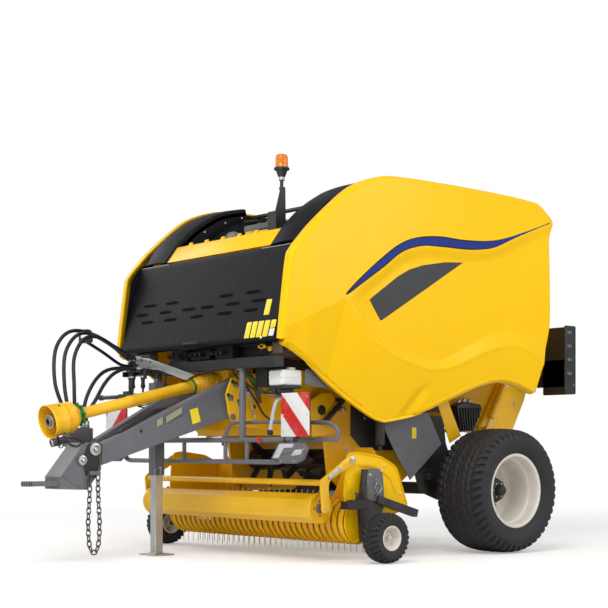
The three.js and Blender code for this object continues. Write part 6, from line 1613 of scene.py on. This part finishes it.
# well behind the crossbeam, rollers and belts
def beltFinish(name):
    # woven rubber belt: two diagonal rows of small ridges, dusty where the crop has run
    f = Finish(name, (52, 51, 50), 0.75)
    weave = ((f.x + f.z + f.y) * 420.0).math("SINE") * ((f.x - f.z - f.y) * 420.0).math("SINE")
    worn = f.noise(6.0, 5.0, (0.4, 1.0, 1.0)).between(0.35, 0.75)
    tint = f.mix(worn * 0.6, (38, 38, 38), (96, 88, 74))
    return f.feed(Base_Color=tint, Roughness=0.6 + worn * 0.3, Normal=f.bump(weave, 0.0012))


beltRubber = beltFinish("beltRubber")
for name in ("front_belts", "tailgate_belts"):
    bpy.data.objects[name + "_soft"].data.materials[0] = beltRubber
rustBrown = bareMetal("rustBrown", (96, 68, 46), 0.6, (0.3, 4, 4), stain=0.8)
crossLine = [(-2.0095, 2.4035), (-1.9055, 2.5395), (-1.882, 2.548), (-1.8605, 2.5495), (-1.8505, 2.531),
    (-1.879, 2.516), (-1.9595, 2.406), (-1.9555, 2.3305), (-1.9675, 2.3305), (-1.9745, 2.4035)]
crossSheet = plate(rounded(crossLine, 0.004, 2), -0.6895, 0.6895, "x", 0.002)
crossTabs = join(*(plate([(-1.912, 2.53), (-1.902, 2.56), (-1.888, 2.566), (-1.88, 2.545), (-1.895, 2.52)], x, x + 0.03,
    "x", 0.002) for x in (-0.52, -0.3, -0.08, 0.14, 0.36)))
hoodHinges = bothSides(sheet([(-1.9655, 2.336), (-1.9655, 2.376), (-1.99, 2.3645), (-2.006, 2.3675), (-2.0245, 2.3655),
    (-2.0205, 2.338)], 0.008, 0.494, 0.506, "x", 0.002), rod((0.476, -2.01, 2.352), (0.5, -2.01, 2.352), 0.0078))
makePiece("front_crossbeam_sheet", [(crossSheet, crossTabs, panelYellow), (hoodHinges, steelYellow)], "chassis",
    "front_crossbeam", 30)

wellRollers = join(*(rod((-0.606, y, z), (0.606, y, z), r, 0.006, 40) for y, z,
    r in ((-1.6, 2.5, 0.055), (-1.4, 2.62, 0.045), (-1.1, 2.74, 0.045))))
# a black lining on the well's walls and a trim strip over their top edges
wallEdge = curve([(-1.7, 2.52), (-1.591, 2.623), (-1.464, 2.712), (-1.33, 2.78), (-1.175, 2.82), (-1.014, 2.839),
    (-0.9, 2.85), (-0.45, 2.85)], 40)
wallRise = np.gradient(wallEdge, axis=0) @ np.array([[0, 1], [-1, 0]])
wallRise = unit(wallRise)
wellLining = bothSides(plate(np.concatenate([[(-1.86, 2.2)], wallEdge, [(-0.45, 2.6), (-1.2, 2.3)]]), 0.604, 0.6092,
    "x", 0.001), plate(np.concatenate([wallEdge + wallRise * 0.001, (wallEdge + wallRise * 0.008)[::-1]]), 0.604, 0.643,
    "x", 0.001))
wellBox = join(block(-0.23, -0.055, -1.545, -1.44, 2.575, 2.655, 0.006),
    block(-0.045, 0.14, -1.545, -1.44, 2.575, 2.645, 0.006))
wellLid = join(block(-0.235, 0.145, -1.55, -1.435, 2.655, 2.7, 0.006),
    disc((-0.1, -1.49, 2.7), upward, 0.016, 0.018, 0.003), disc((0.02, -1.49, 2.7), upward, 0.016, 0.024, 0.003))
wellBar = block(-0.606, 0.606, -1.535, -1.475, 2.535, 2.577, 0.005)
sprockets = join(*(turned([(0.03, 0), (0.085, 0), (0.092, 0.004), (0.085, 0.008), (0.03, 0.008)],
    (-0.59 + 0.03 * k, -1.4, 2.62), left, 24, closed=True) for k in range(2)))
wallBolts = bothSides(bolts([(0.6405, y, z) for y, z in ((-1.75, 1.5), (-1.55, 1.3), (-1.3, 1.3), (-1.0, 1.1),
    (-0.8, 0.95), (-1.2, 0.85), (-0.6, 0.9), (-1.78, 1.9))], left, 0.011))
makePiece("well_rollers", [(wellRollers, rustBrown), (wellLining, wellBar, hoodBlack), (wellLid, lampGrey),
    (wellBox, steelYellow), (sprockets, plainSteel), (wallBolts, zinc)], "chassis", (), 30)


# beacon
lampX, lampY = 0.52, -1.763


def amberFinish():
    # clear orange plastic over a reflector, slightly cloudy
    f = Finish("amberLens", (246, 146, 4), 0.16, coat=0.5, Transmission_Weight=0.35, IOR=1.45, Emission_Strength=0.06)
    tint = f.mix(f.noise(30.0, 2.0), (226, 104, 2), (250, 160, 18))
    return f.feed(Base_Color=tint, Emission_Color=tint)


amberLens = amberFinish()
lensRows = [(0.0, 3.1515), (0.022, 3.1505), (0.039, 3.146), (0.046, 3.138),
    (0.049, 3.127)] + [(0.0498 + 0.002 * (k % 2), 3.124 - 0.0062 * k) for k in range(10)] + [(0.0535, 3.058),
    (0.0545, 3.0475), (0.0, 3.0475)]
a = fullTurn(72)
flute = 1 + 0.018 * np.cos(18 * a)
lensPoints = np.array([np.stack([lampX + r * 0.98 * f * np.cos(a), lampY + r * 0.98 * f * np.sin(a), z + 0 * a], 1)
    for r, z in lensRows for f in [flute if r > 0.03 else 1]])
beaconBase = turned([(0, 3.046), (0.056, 3.046), (0.0605, 3.043), (0.0618, 3.036), (0.058, 3.03), (0.047, 3.0285),
    (0.044, 3.02), (0.034, 2.99), (0.022, 2.965), (0.018, 2.9595), (0, 2.9595)], (lampX, lampY, 0), upward, 48)
beaconCollar = join(turned([(0, 2.975), (0.0235, 2.975), (0.0245, 2.972), (0.0245, 2.95), (0.0235, 2.947), (0, 2.947)],
    (lampX, lampY, 0), upward, 32), rod((lampX, lampY, 2.886), (lampX, lampY, 2.95), 0.0135, 0.002, 20),
    bolt((lampX + 0.0215, lampY, 2.961), left, 0.006))
bulb = join(rod((lampX, lampY, 3.048), (lampX, lampY, 3.075), 0.018),
    turned([(0, 3.118), (0.01, 3.116), (0.0145, 3.108), (0.0145, 3.08), (0.012, 3.075), (0, 3.075)], (lampX, lampY, 0),
    upward, 24))
makePiece("beacon_lens", [(gridShape(lensPoints, roundColumns=True), amberLens), (bulb, silverPlastic)], "chassis",
    "beacon_lamp", 60)
makePiece("beacon_base", [(beaconBase, darkPlastic), (beaconCollar, zinc)], "chassis", (), 40)


# tailgate, its rams and the rear lights
softened("tailgate", steelYellow, 0.006)
gateBolts = bothSides(bolts([(0.666, y, z) for y, z in ((0.1, 1.1), (0.42, 1.05), (0.8, 1.25), (0.93, 1.6),
    (0.97, 1.95), (0.85, 2.35), (0.6, 2.66), (0.2, 2.78))], left, 0.012))
gatePin = bothSides(disc((0.666, 0.47, 1.1), left, 0.042, 0.01, 0.003, 32), bolt((0.676, 0.47, 1.1), left, 0.022),
    disc((0.666, -0.3, 2.8), left, 0.062, 0.008, 0.003, 36, 0.031))
latch = bothSides(rod((0.745, 0.57, 1.4), (0.745, 0.4, 1.12), 0.028, 0.004, 24),
    rod((0.745, 0.405, 1.128), (0.745, 0.34, 1.02), 0.013), disc((0.668, 0.575, 1.408), left, 0.03, 0.1, 0.004),
    disc((0.668, 0.345, 1.03), left, 0.022, 0.1, 0.004))
latchCap = bothSides(disc((0.767, 0.575, 1.408), left, 0.02, 0.008, 0.003))
# a ribbed black valve block under the panel's rear arch, on the tailgate's cheek, and the yellow stay ahead of it
valve = {"ribs": 8, "face": 0.78}
valveBody = sheet([(-0.01, 1.0), (0.15, 1.0), (0.255, 1.19), (0.235, 1.232), (0.06, 1.252), (-0.06, 1.215)], 0.014,
    0.675, valve["face"], "x", 0.006)
valveRibs = [plate([(-0.03 + 0.033 * k, 1.2), (-0.016 + 0.033 * k, 1.2),
    (0.014 + 0.028 * k, 1.012 + 0.035 * max(0, k - 4)), (0.028 * k, 1.012 + 0.035 * max(0, k - 4))],
    valve["face"] - 0.001, valve["face"] + 0.014, "x", 0.002) for k in range(valve["ribs"])]
valveTop = bothSides(*(disc((0.728, y, z), (0, 0.2, 1), 0.017, 0.034, 0.004, 20) for y,
    z in ((0.01, 1.24), (0.075, 1.248), (0.14, 1.242))))
valves = bothSides(valveBody, *valveRibs, *(block(0.6595, 0.677, y - 0.02, y + 0.02, 1.09, 1.14, 0.003)
    for y in (0.03, 0.17)))
stay = bothSides(plate([(-0.448, 1.3), (-0.32, 1.3), (-0.139, 0.96), (-0.272, 0.899)], 0.893, 0.901, "x", 0.002),
    block(0.6405, 0.894, -0.315, -0.275, 1.125, 1.155, 0.003))
makePiece("rear_stay", [(stay, steelYellow)], "chassis", (), 30)
makePiece("tailgate_fittings", [(gateBolts, gatePin, zinc), (latch, steelYellow), (latchCap, plateWhite),
    (valves, satinBlack), (valveTop, zinc)], "tailgate", (), 30)

barY = (1.0755, 1.0905)
sheetEnds = bothSides(sheet(oblong(0.7605, 1.1195, 1.3305, 1.9295), 0.014, *barY, "y", 0.002),
    sheet(oblong(0.946, 1.089, 1.3305, 1.9295), 0.01, 1.1085, 1.1195, "x", 0.002),
    block(0.666, 0.7255, 0.941, 1.0905, 1.4405, 1.4995, 0.004))
barMiddle = join(block(-1.119, 1.119, *barY, 1.4005, 1.6395, 0.003),
    block(-0.0595, 0.0595, 0.9905, 1.0905, 1.4405, 1.4995, 0.004), block(-1.1, 1.1, 1.09, 1.0975, 1.628, 1.6395, 0.002),
    block(-1.1, 1.1, 1.09, 1.0975, 1.4005, 1.412, 0.002))
rearSlots = bothSides(*(sheet(oblong(y0, y1, z0, z0 + 0.024), 0.011, 1.1192, 1.1203, "x", 0.0002) for y0, y1,
    z0 in ((0.975, 1.035, 1.5), (0.975, 1.035, 1.62), (0.975, 1.035, 1.74), (0.975, 1.035, 1.86), (1.05, 1.075, 1.4))))
lampCase = bothSides(sheet(oblong(0.8, 1.09, 1.44, 1.56), 0.02, 1.09, 1.106, "y", 0.004))
lensRed = bothSides(sheet(oblong(0.955, 1.078, 1.452, 1.548), 0.012, 1.105, 1.1085, "y", 0.002))
lensAmber = bothSides(sheet(oblong(0.812, 0.872, 1.452, 1.548), 0.012, 1.105, 1.1085, "y", 0.002))
lensWhite = bothSides(sheet(oblong(0.878, 0.948, 1.452, 1.548), 0.012, 1.105, 1.1085, "y", 0.002))
rearBoards = bothSides(sheet(oblong(0.78, 1.1, 1.6, 1.91), 0.01, 1.0905, 1.0935, "y", 0.001))
triangles = bothSides(plate([(0.6, 1.425), (0.74, 1.425), (0.67, 1.545)], 1.0905, 1.0955, "y", 0.001))
platePlace = sheet(oblong(-0.26, 0.26, 1.43, 1.54), 0.008, 1.0905, 1.093, "y", 0.001)
amberPlain = moulded("amberPlain", (236, 128, 12), 0.2, coat=0.6)


def rearStripes():
    # the same red and white stripes for the boards at the back
    f = Finish("rearStripes", (226, 226, 224), 0.25, coat=0.3)
    lean = (f.z - abs(f.x) * 1.0 + 10.0) % 0.2
    tint = f.mix(lean.between(0.098, 0.102), (228, 228, 226), (205, 16, 22))
    tint = f.mix(f.noise(8.0, 4.0).between(0.5, 0.8) * 0.3, tint, (150, 140, 126))
    return f.feed(Base_Color=tint)


makePiece("rear_light_panel", [(sheetEnds, barMiddle, satinBlack), (rearSlots, lampGrey), (lampCase, darkPlastic),
    (lensRed, triangles, redPlastic), (lensAmber, amberPlain), (lensWhite, glassGrey), (rearBoards, rearStripes()),
    (platePlace, plateWhite)], "tailgate", "rear_light_bar", 34)

ramLong = math.hypot(0.6, 0.1)
ramWay = np.array([0.0, 0.6, 0.1]) / ramLong
for side, sign in (("left", 1), ("right", -1)):
    base = np.array([sign * 0.709, -0.6, 2.3])
    onRam = lambda d: base + ramWay * d
    eye = disc(base - np.array([0.02, 0, 0]), left, 0.0378, 0.04, 0.003, 36, 0.0208)
    barrel = turned([(0, 0.034), (0.03, 0.034), (0.0335, 0.038), (0.034, 0.05), (0.034, ramLong - 0.15),
        (0.0365, ramLong - 0.148), (0.0365, ramLong - 0.118), (0.034, ramLong - 0.111), (0.017, ramLong - 0.1105),
        (0.017, ramLong - 0.16), (0, ramLong - 0.16)], base, ramWay, 36)
    ports = join(*(disc(onRam(d) + np.array([0, 0, 0.03]), (0, -0.1, 1), 0.014, 0.022, 0.003, 16)
        for d in (0.075, ramLong - 0.165)))
    pinHead = bolt(base + np.array([sign * 0.0205, 0, 0]), (sign, 0, 0), 0.019)
    rodBar = rod(onRam(0.12), onRam(ramLong - 0.04), 0.0153, 0.002, 24)
    rodEye = disc(onRam(ramLong) - np.array([0.02, 0, 0]), left, 0.042, 0.04, 0.003, 36, 0.028)
    makePiece("ram_barrel_" + side + "_tube", [(eye, barrel, ports, steelYellow)], "ram_barrel_" + side,
        "ram_barrel_" + side, 34)
    makePiece("ram_rod_" + side + "_steel", [(rodBar, rodSteel), (rodEye, steelYellow)], "ram_rod_" + side,
        "ram_rod_" + side, 34)
    makePiece("ram_pin_" + side, [(pinHead, zinc)], "chassis", (), 34)
print("rear made")


# floor, light and the closing lines
stage = {"floor": (232, 232, 232), "glow": 0.3, "world": 0.52, "key": 370, "fill": 170, "rim": 130, "front": 95}


def lamp(name, place, aim, size, energy):
    data = bpy.data.lights.new(name, "AREA")
    data.shape = "RECTANGLE"
    data.size, data.size_y = size
    data.energy = energy
    light = bpy.data.objects.new(name, data)
    bpy.context.scene.collection.objects.link(light)
    light.location = (place[0], place[1] + axleY, place[2])
    direction = np.array(aim, float) - np.array(place, float)
    up = unit(-direction)
    yaw = math.atan2(up[1], up[0])
    light.rotation_euler = (0, math.acos(up[2]), yaw)
    return light


def makeStage(v):
    # a wide floor that the camera sees lit and a little brightened near the machine and plain white further out; the
    # world is plain white to the camera and through clear plastic
    scene = bpy.context.scene
    scene.view_settings.view_transform = "Standard"
    world = bpy.data.worlds.new("studio")
    scene.world = world
    world.use_nodes = True
    tree = world.node_tree
    plain = tree.nodes["Background"]
    plain.inputs[0].default_value = (1, 1, 1, 1)
    plain.inputs[1].default_value = v["world"]
    seen = tree.nodes.new("ShaderNodeBackground")
    seen.inputs[0].default_value = (1, 1, 1, 1)
    seen.inputs[1].default_value = 1.0
    path = tree.nodes.new("ShaderNodeLightPath")
    either = tree.nodes.new("ShaderNodeMath")
    either.operation = "MAXIMUM"
    mixer = tree.nodes.new("ShaderNodeMixShader")
    tree.links.new(path.outputs["Is Camera Ray"], either.inputs[0])
    tree.links.new(path.outputs["Is Transmission Ray"], either.inputs[1])
    tree.links.new(either.outputs[0], mixer.inputs[0])
    tree.links.new(plain.outputs[0], mixer.inputs[1])
    tree.links.new(seen.outputs[0], mixer.inputs[2])
    tree.links.new(mixer.outputs[0], tree.nodes["World Output"].inputs[0])
    size = 30.0
    mesh = bpy.data.meshes.new("floor")
    mesh.from_pydata([(-size, -size, 0), (size, -size, 0), (size, size, 0), (-size, size, 0)], [], [(0, 1, 2, 3)])
    floor = bpy.data.objects.new("floor", mesh)
    scene.collection.objects.link(floor)
    floor.location = (0, 0, -0.0005)
    f = Finish("floorWhite", v["floor"], 0.9)
    material = f.feed(Base_Color=f.mix(f.noise(3.0), shaded(f.colour, 0.985), f.colour))
    glow = f.node("ShaderNodeEmission", {}, {"Color": (1, 1, 1, 1), "Strength": v["glow"]})
    lit = f.node("ShaderNodeAddShader", {}, {0: f.shader.outputs[0], 1: glow.outputs[0]})
    ray = f.node("ShaderNodeLightPath")
    white = f.node("ShaderNodeEmission", {}, {"Color": (1, 1, 1, 1), "Strength": 1.0})
    away = ((f.x * f.x + f.y * f.y) ** 0.5).between(3.0, 9.0)
    seen = f.node("ShaderNodeMixShader", {}, {0: away, 1: lit.outputs[0], 2: white.outputs[0]})
    choice = f.node("ShaderNodeMixShader", {}, {0: ray.outputs["Is Camera Ray"], 1: f.shader.outputs[0],
        2: seen.outputs[0]})
    f.tree.links.new(choice.outputs[0], f.tree.nodes["Material Output"].inputs["Surface"])
    mesh.materials.append(material)
    lamp("key", (4.5, -6.5, 7.0), (0, -0.6, 1.0), (5, 4), v["key"])
    lamp("fill", (7.0, 2.5, 4.5), (0, 0, 1.2), (4, 4), v["fill"])
    lamp("front", (1.5, -8.5, 1.6), (0, -1.4, 0.7), (5, 2.4), v["front"])
    lamp("rim", (-6.5, -3.0, 5.0), (0, 0, 1.5), (4, 4), v["rim"])


makeStage(stage)
